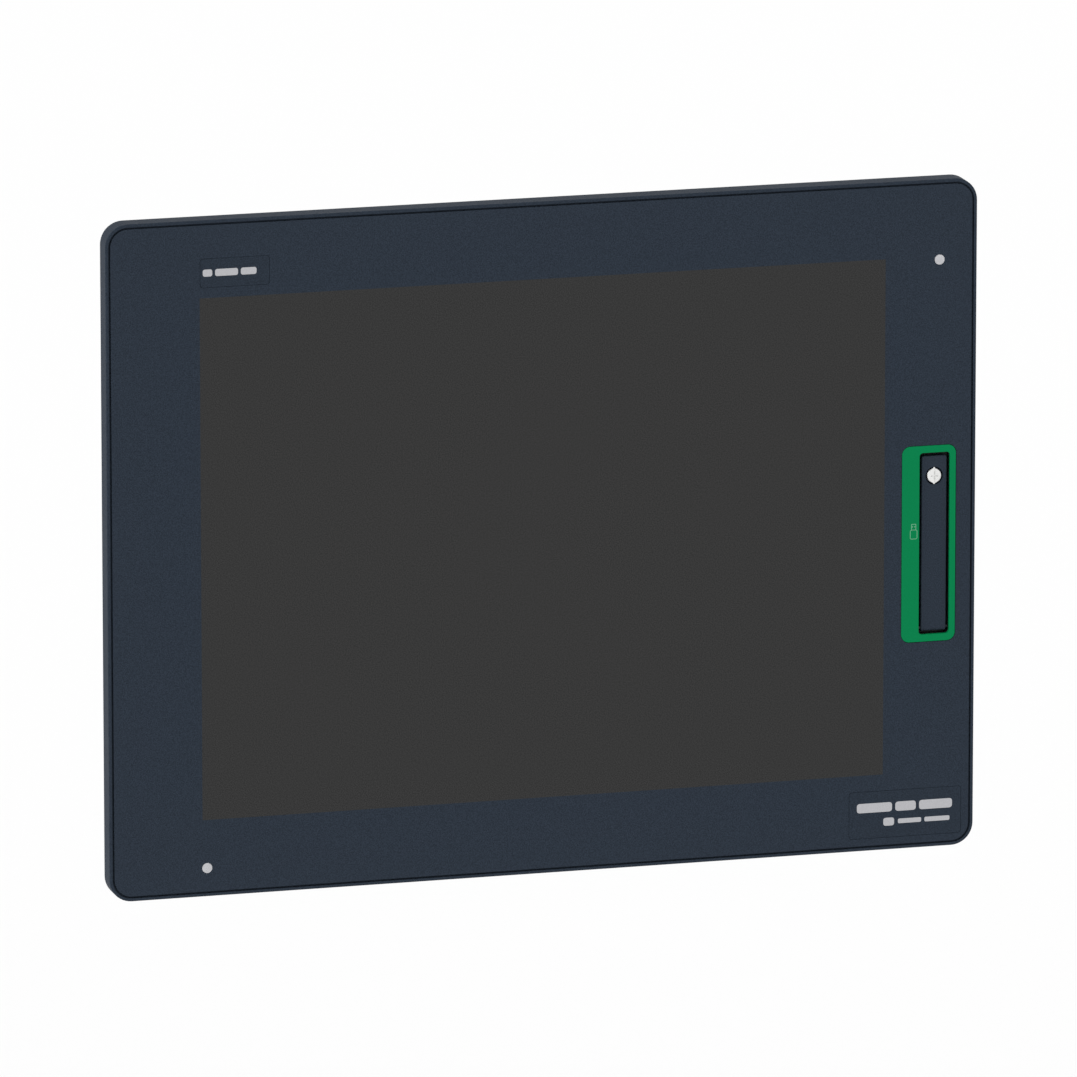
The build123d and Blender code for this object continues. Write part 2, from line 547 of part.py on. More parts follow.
VENT_PITCH, VENT_W, VENT_L, VENT_COUNT, VENT_Y = 7.0, 3.0, 11.0, 17, 18.0
LINK_OPENING_W, LINK_OPENING_H, LINK_OPENING_R = 120.0, 60.0, 3.0
HOUSING_IN_W, HOUSING_IN_H = HOUSING_W - 2 * HOUSING_WALL, HOUSING_H - 2 * HOUSING_WALL
with BuildPart() as display_housing:
    with BuildSketch(front_plane(HOUSING_BACK)):
        RectangleRounded(HOUSING_W, HOUSING_H, HOUSING_R)
    extrude(amount=HOUSING_BACK - BEZEL_BACK)
    chamfer(display_housing.faces().sort_by(Axis.Y)[-1].edges(), length=HOUSING_BEVEL)
    with BuildSketch(front_plane(HOUSING_BACK - HOUSING_WALL)):
        RectangleRounded(HOUSING_IN_W, HOUSING_IN_H, HOUSING_R - HOUSING_WALL)
    extrude(amount=HOUSING_BACK - HOUSING_WALL - BEZEL_BACK, mode=Mode.SUBTRACT)
    # fillet block inside the bevelled back edge, then the screw wells
    with BuildSketch(front_plane(HOUSING_BACK - HOUSING_WALL)):
        ring_sketch(HOUSING_IN_W, HOUSING_IN_H, HOUSING_R - HOUSING_WALL, 2.0)
    extrude(amount=HOUSING_WALL)
    with BuildSketch(front_plane(HOUSING_BACK - HOUSING_WALL)):
        with Locations(*BOSSES):
            Circle(BOSS_R)
    extrude(amount=HOUSING_BACK - HOUSING_WALL - BEZEL_BACK)
    with BuildSketch(front_plane(HOUSING_BACK)):
        with Locations(*BOSSES):
            Circle(WELL_R)
    extrude(amount=HOUSING_BACK - WELL_FLOOR, mode=Mode.SUBTRACT)
    with BuildSketch(front_plane(HOUSING_BACK)):
        with Locations(*BOSSES):
            Circle(BOSS_HOLE_R)
    extrude(amount=HOUSING_BACK - BEZEL_BACK, mode=Mode.SUBTRACT)
    # opening where the control board plugs through, and holes for the control box's screws
    with BuildSketch(front_plane(HOUSING_BACK)):
        RectangleRounded(LINK_OPENING_W, LINK_OPENING_H, LINK_OPENING_R)
        with Locations(*FLANGE_SCREWS):
            Circle(PILOT_R)
    extrude(amount=HOUSING_WALL, mode=Mode.SUBTRACT)
    # vent slots and clamp slots through the upper and lower walls
    with BuildSketch(Plane.XY.offset(-HOUSING_H / 2)):
        with Locations((0, VENT_Y)):
            with GridLocations(VENT_PITCH, 1, VENT_COUNT, 1):
                SlotOverall(VENT_L, VENT_W, rotation=90)
        with Locations((-CLAMP_X, CLAMP_SLOT_Y), (CLAMP_X, CLAMP_SLOT_Y)):
            Rectangle(CLAMP_SLOT_W, CLAMP_SLOT_L)
    extrude(amount=HOUSING_H, mode=Mode.SUBTRACT)
save(display_housing, "display_housing")

HEAD_R, HEAD_T, RECESS_L, RECESS_W, RECESS_DEPTH = 2.7, 2.2, 3.4, 0.8, 1.3
FLAT_HEAD_R, FLAT_HEAD_T = 2.4, 1.2


def pan_screws(seat, places, shank_r, shank_l):
    """Cross-recessed pan-head screws with their heads behind the plane y = seat, one at each place."""
    with BuildPart() as screws:
        with BuildSketch(front_plane(seat + HEAD_T)):
            with Locations(*places):
                Circle(HEAD_R)
        extrude(amount=HEAD_T)
        fillet(screws.faces().filter_by(Axis.Y).group_by(Axis.Y)[-1].edges(), radius=0.7)
        with BuildSketch(front_plane(seat)):
            with Locations(*places):
                Circle(shank_r)
        extrude(amount=shank_l)
        with BuildSketch(front_plane(seat + HEAD_T)):
            with Locations(*places):
                Rectangle(RECESS_L, RECESS_W)
                Rectangle(RECESS_W, RECESS_L)
        extrude(amount=RECESS_DEPTH, mode=Mode.SUBTRACT)
    return screws


save(pan_screws(WELL_FLOOR, BOSSES, SHANK_R, WELL_FLOOR - BEZEL_BACK + 4.0), "housing_screws")
save(pan_screws(HOUSING_BACK + BOX_WALL, FLANGE_SCREWS, SHANK_R, 5.0), "box_screws")
save(pan_screws(CHASSIS_Y + CHASSIS_T, CHASSIS_POSTS, SHANK_R, 6.0), "chassis_screws")

with BuildPart() as board_screws:
    # small flat heads, one group on the driver board and one on the control board
    for seat, places in ((DRIVER_Y + DRIVER_T, DRIVER_POSTS), (BOARD_BACK, BOARD_POSTS)):
        with BuildSketch(front_plane(seat + FLAT_HEAD_T)):
            with Locations(*places):
                Circle(FLAT_HEAD_R)
        extrude(amount=FLAT_HEAD_T)
        with BuildSketch(front_plane(seat)):
            with Locations(*places):
                Circle(SHANK_R)
        extrude(amount=DRIVER_T + 0.6)
save(board_screws, "board_screws")

with BuildPart() as hex_spacers:
    for back, front, places in (
        (CHASSIS_Y, BEZEL_BACK, CHASSIS_POSTS),
        (DRIVER_Y, CHASSIS_Y + CHASSIS_T, DRIVER_POSTS),
        (BOARD_Y, HOUSING_BACK, BOARD_POSTS),
    ):
        with BuildSketch(front_plane(back)):
            with Locations(*places):
                RegularPolygon(SPACER_R, 6)
                Circle(1.3, mode=Mode.SUBTRACT)
        extrude(amount=back - front)
save(hex_spacers, "hex_spacers")

with BuildPart() as chassis_plate:
    with BuildSketch(front_plane(CHASSIS_Y + CHASSIS_T)):
        Rectangle(CHASSIS_W, CHASSIS_H)
        with Locations(*CHASSIS_POSTS):
            Rectangle(9.0, 12.0)
        with GridLocations(150, 110, 2, 2):
            RectangleRounded(110, 70, 6, mode=Mode.SUBTRACT)
        with Locations(*CHASSIS_POSTS):
            Circle(BOARD_HOLE_R, mode=Mode.SUBTRACT)
    extrude(amount=CHASSIS_T)
save(chassis_plate, "chassis_plate")

with BuildPart() as driver_board:
    with BuildSketch(front_plane(DRIVER_Y + DRIVER_T)):
        with Locations((DRIVER_X, 0)):
            Rectangle(DRIVER_W, DRIVER_H)
        with Locations(*DRIVER_POSTS):
            Circle(BOARD_HOLE_R, mode=Mode.SUBTRACT)
    extrude(amount=DRIVER_T)
save(driver_board, "driver_board")

LINK_W, LINK_H = 54.0, 7.0
with BuildPart() as link_connector:
    # board-to-board connector that joins the driver board to the control board
    with BuildSketch(front_plane(BOARD_Y)):
        Rectangle(LINK_W, LINK_H)
    extrude(amount=BOARD_Y - DRIVER_Y - DRIVER_T)
    chamfer(link_connector.edges().filter_by(Axis.Y), length=1.0)
save(link_connector, "link_connector")

# ================================ control box ================================

SOCKET_HOLES = [(POWER_X, POWER_W + 0.8, POWER_T + 0.8, POWER_Y)]
SOCKET_HOLES += [(x, ETHERNET_W + 0.4, ETHERNET_T + 0.2, BOARD_BACK + ETHERNET_T / 2) for x in ETHERNET_X]
SOCKET_HOLES += [(x, USB_W + 0.5, USB_T + 0.5, BOARD_BACK + 0.6 + USB_T / 2) for x in REAR_USB_X]
SOCKET_HOLES += [(x, 20.0, 10.4, SERIAL_Y) for x in SERIAL_X]

BOX_VENTS, BOX_VENT_L = 24, 12.0
SINK_VENT_PITCH, SINK_VENT_L = 6.0, 20.0
with BuildPart() as control_box:
    with BuildSketch(front_plane(BOX_BACK)):
        with Locations((0, BOX_Z)):
            RectangleRounded(BOX_W, BOX_H, 2.0)
    extrude(amount=BOX_BACK - HOUSING_BACK)
    fillet(control_box.faces().sort_by(Axis.Y)[-1].edges(), radius=1.5)
    with BuildSketch(front_plane(HOUSING_BACK + BOX_WALL)):
        with Locations((0, BOX_Z)):
            RectangleRounded(BOX_W + 2 * FLANGE_W, BOX_H - 10, 3.0)
    extrude(amount=BOX_WALL)
    with BuildSketch(front_plane(BOX_BACK - BOX_WALL)):
        with Locations((0, BOX_Z)):
            RectangleRounded(BOX_W - 2 * BOX_WALL, BOX_H - 2 * BOX_WALL, 1.0)
    extrude(amount=BOX_BACK - BOX_WALL - HOUSING_BACK, mode=Mode.SUBTRACT)
    with BuildSketch(front_plane(HOUSING_BACK + BOX_WALL)):
        with Locations(*FLANGE_SCREWS):
            Circle(1.7)
    extrude(amount=BOX_WALL, mode=Mode.SUBTRACT)
    # socket openings in the lower wall
    with BuildSketch(down_plane(BOX_BOTTOM + BOX_WALL)):
        for x, width, thickness, y in SOCKET_HOLES:
            with Locations((x, -y)):
                Rectangle(width, thickness)
        for x in SERIAL_X:
            with Locations((x - JACKSCREW, -SERIAL_Y), (x + JACKSCREW, -SERIAL_Y)):
                Circle(JACK_HOLE_R)
    extrude(amount=BOX_WALL, mode=Mode.SUBTRACT)
    # vents in the upper wall and over the heat sink
    with BuildSketch(Plane.XY.offset(BOX_Z + BOX_H / 2 - BOX_WALL - 0.5)):
        with Locations((0, BOX_BACK - 9.5)):
            with GridLocations(VENT_PITCH, 1, BOX_VENTS, 1):
                SlotOverall(BOX_VENT_L, VENT_W, rotation=90)
    extrude(amount=BOX_WALL + 1.0, mode=Mode.SUBTRACT)
    with BuildSketch(front_plane(BOX_BACK)):
        with Locations((SINK_X, SINK_Z)):
            with GridLocations(SINK_VENT_PITCH, SINK_VENT_L + 4.0, 14, 2):
                SlotOverall(SINK_VENT_L, VENT_W, rotation=90)
    extrude(amount=BOX_WALL, mode=Mode.SUBTRACT)
    # opening for the card door in the right wall
    with BuildSketch(side_plane(BOX_W / 2 - BOX_WALL - 0.5)):
        with Locations((DOOR_Y, DOOR_Z)):
            Rectangle(DOOR_W + 2 * DOOR_FRAME_WALL + 0.2, DOOR_H + 2 * DOOR_FRAME_WALL + 0.2)
    extrude(amount=BOX_WALL + 1.0, mode=Mode.SUBTRACT)
save(control_box, "control_box")

with BuildPart() as control_board:
    with BuildSketch(front_plane(BOARD_BACK)):
        with Locations((0, BOX_Z)):
            Rectangle(BOARD_W, BOARD_H)
        with Locations(*BOARD_POSTS):
            Circle(BOARD_HOLE_R, mode=Mode.SUBTRACT)
    extrude(amount=BOARD_T)
save(control_board, "control_board")

# chips: centre x, centre z, width, height, thickness
CHIPS = [(-30, 20, 34, 34, 2.0), (18, 30, 14, 20, 1.2), (18, 6, 14, 20, 1.2), (45, 20, 18, 18, 1.6)]
CHIPS += [(-85, 20, 10, 16, 2.4)]
with BuildPart() as board_chips:
    for chip_x, chip_z, chip_w, chip_h, chip_t in CHIPS:
        with BuildSketch(front_plane(BOARD_BACK + chip_t)):
            with Locations((chip_x, chip_z)):
                Rectangle(chip_w, chip_h)
        extrude(amount=chip_t)
save(board_chips, "board_chips")

CAPACITORS = [(-82, -35), (-82, -22), (-70, -35), (-70, -22), (64, -20), (76, -20)]
CAPACITOR_R, CAPACITOR_L = 4.0, 9.0
with BuildPart() as board_capacitors:
    with BuildSketch(front_plane(BOARD_BACK + CAPACITOR_L)):
        with Locations(*CAPACITORS):
            Circle(CAPACITOR_R)
    extrude(amount=CAPACITOR_L)
    fillet(board_capacitors.faces().filter_by(Axis.Y).group_by(Axis.Y)[-1].edges(), radius=0.6)
save(board_capacitors, "board_capacitors")

with BuildPart() as heat_sink:
    with BuildSketch(front_plane(SINK_FRONT + SINK_BASE)):
        with Locations((SINK_X, SINK_Z)):
            Rectangle(SINK_W, SINK_H)
    extrude(amount=SINK_BASE)
    with BuildSketch(front_plane(SINK_FRONT + SINK_T)):
        with Locations((SINK_X, SINK_Z)):
            with GridLocations(SINK_W / FINS, 1, FINS, 1):
                Rectangle(1.6, SINK_H)
    extrude(amount=SINK_T - SINK_BASE)
save(heat_sink, "heat_sink")

BATTERY_X, BATTERY_Z, BATTERY_R, BATTERY_T = 20.0, -35.0, 10.0, 3.2
with BuildPart() as backup_battery:
    with BuildSketch(front_plane(BOARD_BACK + 1.2 + BATTERY_T)):
        with Locations((BATTERY_X, BATTERY_Z)):
            Circle(BATTERY_R)
    extrude(amount=BATTERY_T)
    fillet(backup_battery.faces().sort_by(Axis.Y)[-1].edges(), radius=0.6)
save(backup_battery, "backup_battery")

# ---- sockets on the lower edge ----

SOCKET_FACE = BOX_BOTTOM - 0.4
POWER_POLES = [POWER_X + i * POWER_PITCH for i in (-1, 0, 1)]
POWER_FLOOR = BOX_BOTTOM + POWER_DEPTH
POWER_LIP = 0.4
with BuildPart() as power_socket:
    with BuildSketch(down_plane(POWER_FLOOR + 1.6)):
        with Locations((POWER_X, -POWER_Y)):
            Rectangle(POWER_W, POWER_T)
    extrude(amount=POWER_DEPTH + 1.6 + POWER_LIP)
    with BuildSketch(down_plane(POWER_FLOOR)):
        with Locations((POWER_X, -POWER_Y)):
            Rectangle(POWER_W - 2 * POWER_WALL, POWER_T - 2 * POWER_WALL)
    extrude(amount=POWER_DEPTH + POWER_LIP, mode=Mode.SUBTRACT)
    with BuildSketch(down_plane(POWER_FLOOR)):
        with Locations(*[(x, -POWER_Y) for x in POWER_POLES]):
            Rectangle(1.0, 1.0)
    extrude(amount=7.4)
save(power_socket, "power_socket")

PLUG_TOP, PLUG_L, PLUG_BORE, PLUG_ENTRY, PLUG_SCREW_R = POWER_FLOOR - 0.4, 18.0, 8.0, 5.0, 1.7
PLUG_FACE = PLUG_TOP - PLUG_L
PLUG_SCREW_Z = PLUG_FACE + 4.5
PLUG_BACK = POWER_Y + 6.3
with BuildPart() as power_plug:
    with BuildSketch(down_plane(PLUG_TOP)):
        with Locations((POWER_X, -POWER_Y)):
            Rectangle(POWER_W - 2 * POWER_WALL - 0.4, POWER_T - 2 * POWER_WALL - 0.4)
    extrude(amount=PLUG_L)
    with BuildSketch(down_plane(BOX_BOTTOM - 1.0)):
        with Locations((POWER_X, -POWER_Y - 0.8)):
            Rectangle(20.4, 11.0)
    extrude(amount=BOX_BOTTOM - 1.0 - PLUG_FACE)
    # pin bores, wire entries and screw wells
    with BuildSketch(down_plane(PLUG_TOP)):
        with Locations(*[(x, -POWER_Y) for x in POWER_POLES]):
            Rectangle(1.4, 1.4)
    extrude(amount=PLUG_BORE, mode=Mode.SUBTRACT)
    with BuildSketch(down_plane(PLUG_FACE + PLUG_ENTRY)):
        with Locations(*[(x, -POWER_Y + 1.2) for x in POWER_POLES]):
            Rectangle(3.4, 3.4)
    extrude(amount=PLUG_ENTRY, mode=Mode.SUBTRACT)
    with BuildSketch(front_plane(PLUG_BACK)):
        with Locations(*[(x, PLUG_SCREW_Z) for x in POWER_POLES]):
            Circle(PLUG_SCREW_R + 0.2)
    extrude(amount=2.5, mode=Mode.SUBTRACT)
save(power_plug, "power_plug")

with BuildPart() as power_plug_screws:
    with BuildSketch(front_plane(PLUG_BACK - 0.9)):
        with Locations(*[(x, PLUG_SCREW_Z) for x in POWER_POLES]):
            Circle(PLUG_SCREW_R)
    extrude(amount=1.6)
    with BuildSketch(front_plane(PLUG_BACK - 0.9)):
        with Locations(*[(x, PLUG_SCREW_Z) for x in POWER_POLES]):
            Rectangle(4.0, 0.6)
    extrude(amount=0.7, mode=Mode.SUBTRACT)
save(power_plug_screws, "power_plug_screws")

ETHERNET_Y = BOARD_BACK + ETHERNET_T / 2
with BuildPart() as ethernet_shells:
    with BuildSketch(down_plane(SOCKET_FACE + ETHERNET_L)):
        with Locations(*[(x, -ETHERNET_Y) for x in ETHERNET_X]):
            Rectangle(ETHERNET_W, ETHERNET_T)
    extrude(amount=ETHERNET_L)
    with BuildSketch(down_plane(SOCKET_FACE + ETHERNET_L - 0.5)):
        with Locations(*[(x, -ETHERNET_Y) for x in ETHERNET_X]):
            Rectangle(ETHERNET_W - 2 * SHELL_SHEET, ETHERNET_T - 2 * SHELL_SHEET)
    extrude(amount=ETHERNET_L, mode=Mode.SUBTRACT)
save(ethernet_shells, "ethernet_shells")

JACK_CAVITY_W, JACK_CAVITY_T, JACK_DEPTH = 11.9, 7.2, 12.5
with BuildPart() as ethernet_inserts:
    with BuildSketch(down_plane(SOCKET_FACE + ETHERNET_L - 0.5)):
        with Locations(*[(x, -ETHERNET_Y) for x in ETHERNET_X]):
            Rectangle(ETHERNET_W - 2 * SHELL_SHEET, ETHERNET_T - 2 * SHELL_SHEET)
    extrude(amount=ETHERNET_L - 0.6)
    with BuildSketch(down_plane(SOCKET_FACE + JACK_DEPTH)):
        with Locations(*[(x, -ETHERNET_Y) for x in ETHERNET_X]):
            Rectangle(JACK_CAVITY_W, JACK_CAVITY_T)
        with Locations(*[(x, -ETHERNET_Y - 3.9) for x in ETHERNET_X]):
            Rectangle(6.2, 2.4)
    extrude(amount=JACK_DEPTH, mode=Mode.SUBTRACT)
    # contact comb along the side opposite the latch notch
    with BuildSketch(down_plane(SOCKET_FACE + JACK_DEPTH)):
        with Locations(*[(x, -ETHERNET_Y + 3.0) for x in ETHERNET_X]):
            with GridLocations(1.02, 1, 8, 1):
                Rectangle(0.4, 1.4)
    extrude(amount=9.0)
save(ethernet_inserts, "ethernet_inserts")

REAR_USB_Y = BOARD_BACK + 0.6 + USB_T / 2
rear_usb_centres = [(x, -REAR_USB_Y) for x in REAR_USB_X]
save(usb_a_shell(down_plane(SOCKET_FACE), rear_usb_centres), "rear_usb_shells")
save(usb_a_insert(down_plane(SOCKET_FACE), rear_usb_centres), "rear_usb_inserts")


def serial_outline(width, height):
    """Five-cornered trapezium outline of a nine-way serial socket, drawn in the open sketch."""
    Trapezoid(width, height, 80, align=(Align.CENTER, Align.CENTER))


with BuildPart() as serial_shells:
    with BuildSketch(down_plane(BOX_BOTTOM)):
        with Locations(*[(x, -SERIAL_Y) for x in SERIAL_X]):
            RectangleRounded(SERIAL_FLANGE_W, SERIAL_FLANGE_T, 1.5)
    extrude(amount=0.6)
    with BuildSketch(down_plane(BOX_BOTTOM)):
        with Locations(*[(x, -SERIAL_Y) for x in SERIAL_X]):
            serial_outline(SERIAL_D_W, SERIAL_D_T)
    extrude(amount=SERIAL_REACH)
    fillet(serial_shells.edges().filter_by(Axis.Z).filter_by(lambda e: e.length > 5), radius=1.4)
    with BuildSketch(down_plane(BOX_BOTTOM)):
        with Locations(*[(x, -SERIAL_Y) for x in SERIAL_X]):
            serial_outline(SERIAL_D_W - 2 * SERIAL_SKIN, SERIAL_D_T - 2 * SERIAL_SKIN)
        for x in SERIAL_X:
            with Locations((x - JACKSCREW, -SERIAL_Y), (x + JACKSCREW, -SERIAL_Y)):
                Circle(JACK_HOLE_R)
    extrude(amount=SERIAL_REACH + 0.2, mode=Mode.SUBTRACT)
save(serial_shells, "serial_shells")

PIN_PITCH = 2.77
PIN_ROW = 1.42
SERIAL_PINS = [((i - 2) * PIN_PITCH, PIN_ROW) for i in range(5)]
SERIAL_PINS += [((i - 1.5) * PIN_PITCH, -PIN_ROW) for i in range(4)]
with BuildPart() as serial_inserts:
    with BuildSketch(down_plane(BOX_BOTTOM + 9.0)):
        with Locations(*[(x, -SERIAL_Y) for x in SERIAL_X]):
            serial_outline(SERIAL_D_W - 2 * SERIAL_SKIN - 0.2, SERIAL_D_T - 2 * SERIAL_SKIN - 0.2)
    extrude(amount=9.2)
save(serial_inserts, "serial_inserts")

with BuildPart() as serial_pins:
    with BuildSketch(down_plane(BOX_BOTTOM - 0.2)):
        with Locations(*[(x + dx, dy - SERIAL_Y) for x in SERIAL_X for dx, dy in SERIAL_PINS]):
            Circle(0.5)
    extrude(amount=4.8)
save(serial_pins, "serial_pins")

POST_R, POST_L, POST_SHANK_R, POST_BORE_R = 2.7, 5.0, 1.45, 1.4
with BuildPart() as serial_posts:
    with BuildSketch(down_plane(BOX_BOTTOM - 0.6)):
        for x in SERIAL_X:
            with Locations((x - JACKSCREW, -SERIAL_Y), (x + JACKSCREW, -SERIAL_Y)):
                RegularPolygon(POST_R, 6)
    extrude(amount=POST_L)
    with BuildSketch(down_plane(BOX_BOTTOM + 3.0)):
        for x in SERIAL_X:
            with Locations((x - JACKSCREW, -SERIAL_Y), (x + JACKSCREW, -SERIAL_Y)):
                Circle(POST_SHANK_R)
    extrude(amount=3.6)
    with BuildSketch(down_plane(BOX_BOTTOM - 2.0)):
        for x in SERIAL_X:
            with Locations((x - JACKSCREW, -SERIAL_Y), (x + JACKSCREW, -SERIAL_Y)):
                Circle(POST_BORE_R)
    extrude(amount=3.6, mode=Mode.SUBTRACT)
save(serial_posts, "serial_posts")

# ---- card door and card socket ----

DOOR_HINGE_X = DOOR_FACE - DOOR_T / 2
DOOR_HINGE_Z = DOOR_Z - DOOR_H / 2 + DOOR_GAP + DOOR_T / 2
DOOR_SPAN = DOOR_W - 2 * DOOR_GAP
DOOR_TOP = DOOR_Z + DOOR_H / 2 - DOOR_GAP
with BuildPart() as card_door:
    with BuildSketch(front_plane(DOOR_Y + DOOR_SPAN / 2)):
        with Locations((DOOR_HINGE_X, (DOOR_TOP + DOOR_HINGE_Z) / 2)):
            Rectangle(DOOR_T, DOOR_TOP - DOOR_HINGE_Z)
        with Locations((DOOR_HINGE_X, DOOR_HINGE_Z)):
            Circle(DOOR_T / 2)
    extrude(amount=DOOR_SPAN)
    # raised finger ridge near the top of the outer face
    with BuildSketch(side_plane(DOOR_FACE)):
        with Locations((DOOR_Y, DOOR_TOP - 3.0)):
            with GridLocations(1, 1.6, 1, 3):
                SlotOverall(7.0, 0.8)
    extrude(amount=0.4)
    with BuildSketch(front_plane(DOOR_Y + DOOR_SPAN / 2)):
        with Locations((DOOR_HINGE_X, DOOR_HINGE_Z)):
            Circle(DOOR_PIN_R + 0.05)
    extrude(amount=DOOR_SPAN, mode=Mode.SUBTRACT)
save(card_door, "card_door")

with BuildPart() as card_frame:
    # moulded frame, flush with the wall, that carries the door's pin and guides the card
    with BuildSketch(side_plane(DOOR_FACE)):
        with Locations((DOOR_Y, DOOR_Z)):
            Rectangle(DOOR_W + 2 * DOOR_FRAME_WALL, DOOR_H + 2 * DOOR_FRAME_WALL)
            Rectangle(DOOR_W, DOOR_H, mode=Mode.SUBTRACT)
    extrude(amount=-DOOR_FRAME_L)
    with BuildSketch(front_plane(DOOR_Y + DOOR_W / 2 + DOOR_FRAME_WALL)):
        with Locations((DOOR_HINGE_X, DOOR_HINGE_Z)):
            Circle(DOOR_PIN_R + 0.02)
    extrude(amount=DOOR_W + 2 * DOOR_FRAME_WALL, mode=Mode.SUBTRACT)
save(card_frame, "card_frame")

with BuildPart() as card_door_pin:
    with BuildSketch(front_plane(DOOR_Y + DOOR_W / 2 + 1.0)):
        with Locations((DOOR_HINGE_X, DOOR_HINGE_Z)):
            Circle(DOOR_PIN_R)
    extrude(amount=DOOR_W + 2.0)
save(card_door_pin, "card_door_pin")

CARD_SOCKET_X, CARD_SOCKET_T, CARD_SOCKET_H, CARD_SOCKET_L = DOOR_FACE - DOOR_FRAME_L - 0.2, 6.0, 29.0, 28.0
CARD_SLOT_T, CARD_SLOT_H = 2.5, 24.6
with BuildPart() as card_socket:
    with BuildSketch(side_plane(CARD_SOCKET_X)):
        with Locations((BOARD_BACK + CARD_SOCKET_T / 2, DOOR_Z)):
            Rectangle(CARD_SOCKET_T, CARD_SOCKET_H)
    extrude(amount=-CARD_SOCKET_L)
    with BuildSketch(side_plane(CARD_SOCKET_X)):
        with Locations((BOARD_BACK + CARD_SOCKET_T - 2.2, DOOR_Z)):
            Rectangle(CARD_SLOT_T, CARD_SLOT_H)
    extrude(amount=-(CARD_SOCKET_L - 2.0), mode=Mode.SUBTRACT)
save(card_socket, "card_socket")
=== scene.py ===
import json
import math

import bmesh
import bpy
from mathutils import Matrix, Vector


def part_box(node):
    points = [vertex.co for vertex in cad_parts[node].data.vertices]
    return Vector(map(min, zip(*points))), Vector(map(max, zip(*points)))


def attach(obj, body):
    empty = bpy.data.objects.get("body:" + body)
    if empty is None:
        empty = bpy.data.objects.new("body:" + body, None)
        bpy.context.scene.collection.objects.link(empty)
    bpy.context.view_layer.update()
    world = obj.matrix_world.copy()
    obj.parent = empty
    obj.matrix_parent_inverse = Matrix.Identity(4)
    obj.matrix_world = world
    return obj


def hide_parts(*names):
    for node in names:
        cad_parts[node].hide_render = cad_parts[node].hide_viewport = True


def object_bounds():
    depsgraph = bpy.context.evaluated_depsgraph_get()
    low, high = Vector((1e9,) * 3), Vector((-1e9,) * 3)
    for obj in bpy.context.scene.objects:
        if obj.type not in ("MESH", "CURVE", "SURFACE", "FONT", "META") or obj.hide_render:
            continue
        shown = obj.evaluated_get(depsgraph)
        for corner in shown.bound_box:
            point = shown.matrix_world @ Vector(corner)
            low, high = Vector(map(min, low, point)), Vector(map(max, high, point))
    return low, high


# Looks of the panel-mounted operator terminal: camera, light, materials and fine detail on the CAD frame.
# Metres throughout, in the CAD model's frame: +X is the user's right, +Z is up and the front faces -Y.

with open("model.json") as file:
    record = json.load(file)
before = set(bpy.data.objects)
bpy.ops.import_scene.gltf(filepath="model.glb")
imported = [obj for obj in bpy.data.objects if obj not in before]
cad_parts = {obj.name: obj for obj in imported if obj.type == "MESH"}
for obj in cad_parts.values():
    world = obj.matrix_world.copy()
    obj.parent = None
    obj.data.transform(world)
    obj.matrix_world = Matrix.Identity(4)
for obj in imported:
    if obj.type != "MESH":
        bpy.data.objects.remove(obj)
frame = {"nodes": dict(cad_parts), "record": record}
CAD_LOW, CAD_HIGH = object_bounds()
NODES = frame["nodes"]
MM = 0.001

# ================================ camera, light and floor ================================

AZIMUTH, ELEVATION = math.radians(-15.57), math.radians(12.93)
DISTANCE = 4.807
LOOK_AT = Vector((-0.26 * MM, -0.5 * MM, -1.42 * MM))
SENSOR, FOCAL_RATIO = 36.0, 12.744
FLOOR_DROP, FLOOR_SIZE, FLOOR_TONE = 0.30, 30.0, 0.910
WORLD_STRENGTH = 0.995
KEY_TOWARDS, KEY_STRENGTH, KEY_SPREAD = (-0.95, -0.13, 0.28), 1.1, 30


def make_camera():
    """A long lens, left of the front and a little above it."""
    back = Vector((
        math.sin(AZIMUTH) * math.cos(ELEVATION),
        -math.cos(AZIMUTH) * math.cos(ELEVATION),
        math.sin(ELEVATION),
    ))
    data = bpy.data.cameras.new("camera")
    data.sensor_width = SENSOR
    data.lens = SENSOR * FOCAL_RATIO
    data.clip_end = 60.0
    camera = bpy.data.objects.new("camera", data)
    bpy.context.scene.collection.objects.link(camera)
    camera.location = LOOK_AT + back * DISTANCE
    camera.rotation_mode = "QUATERNION"
    camera.rotation_quaternion = (-back).to_track_quat("-Z", "Y")
    bpy.context.scene.camera = camera


def make_sun(name, towards, strength, angle):
    """A soft sun that shines from the given direction."""
    data = bpy.data.lights.new(name, "SUN")
    data.energy = strength
    data.angle = math.radians(angle)
    sun = bpy.data.objects.new(name, data)
    bpy.context.scene.collection.objects.link(sun)
    sun.rotation_mode = "QUATERNION"
    sun.rotation_quaternion = Vector(towards).to_track_quat("Z", "Y")


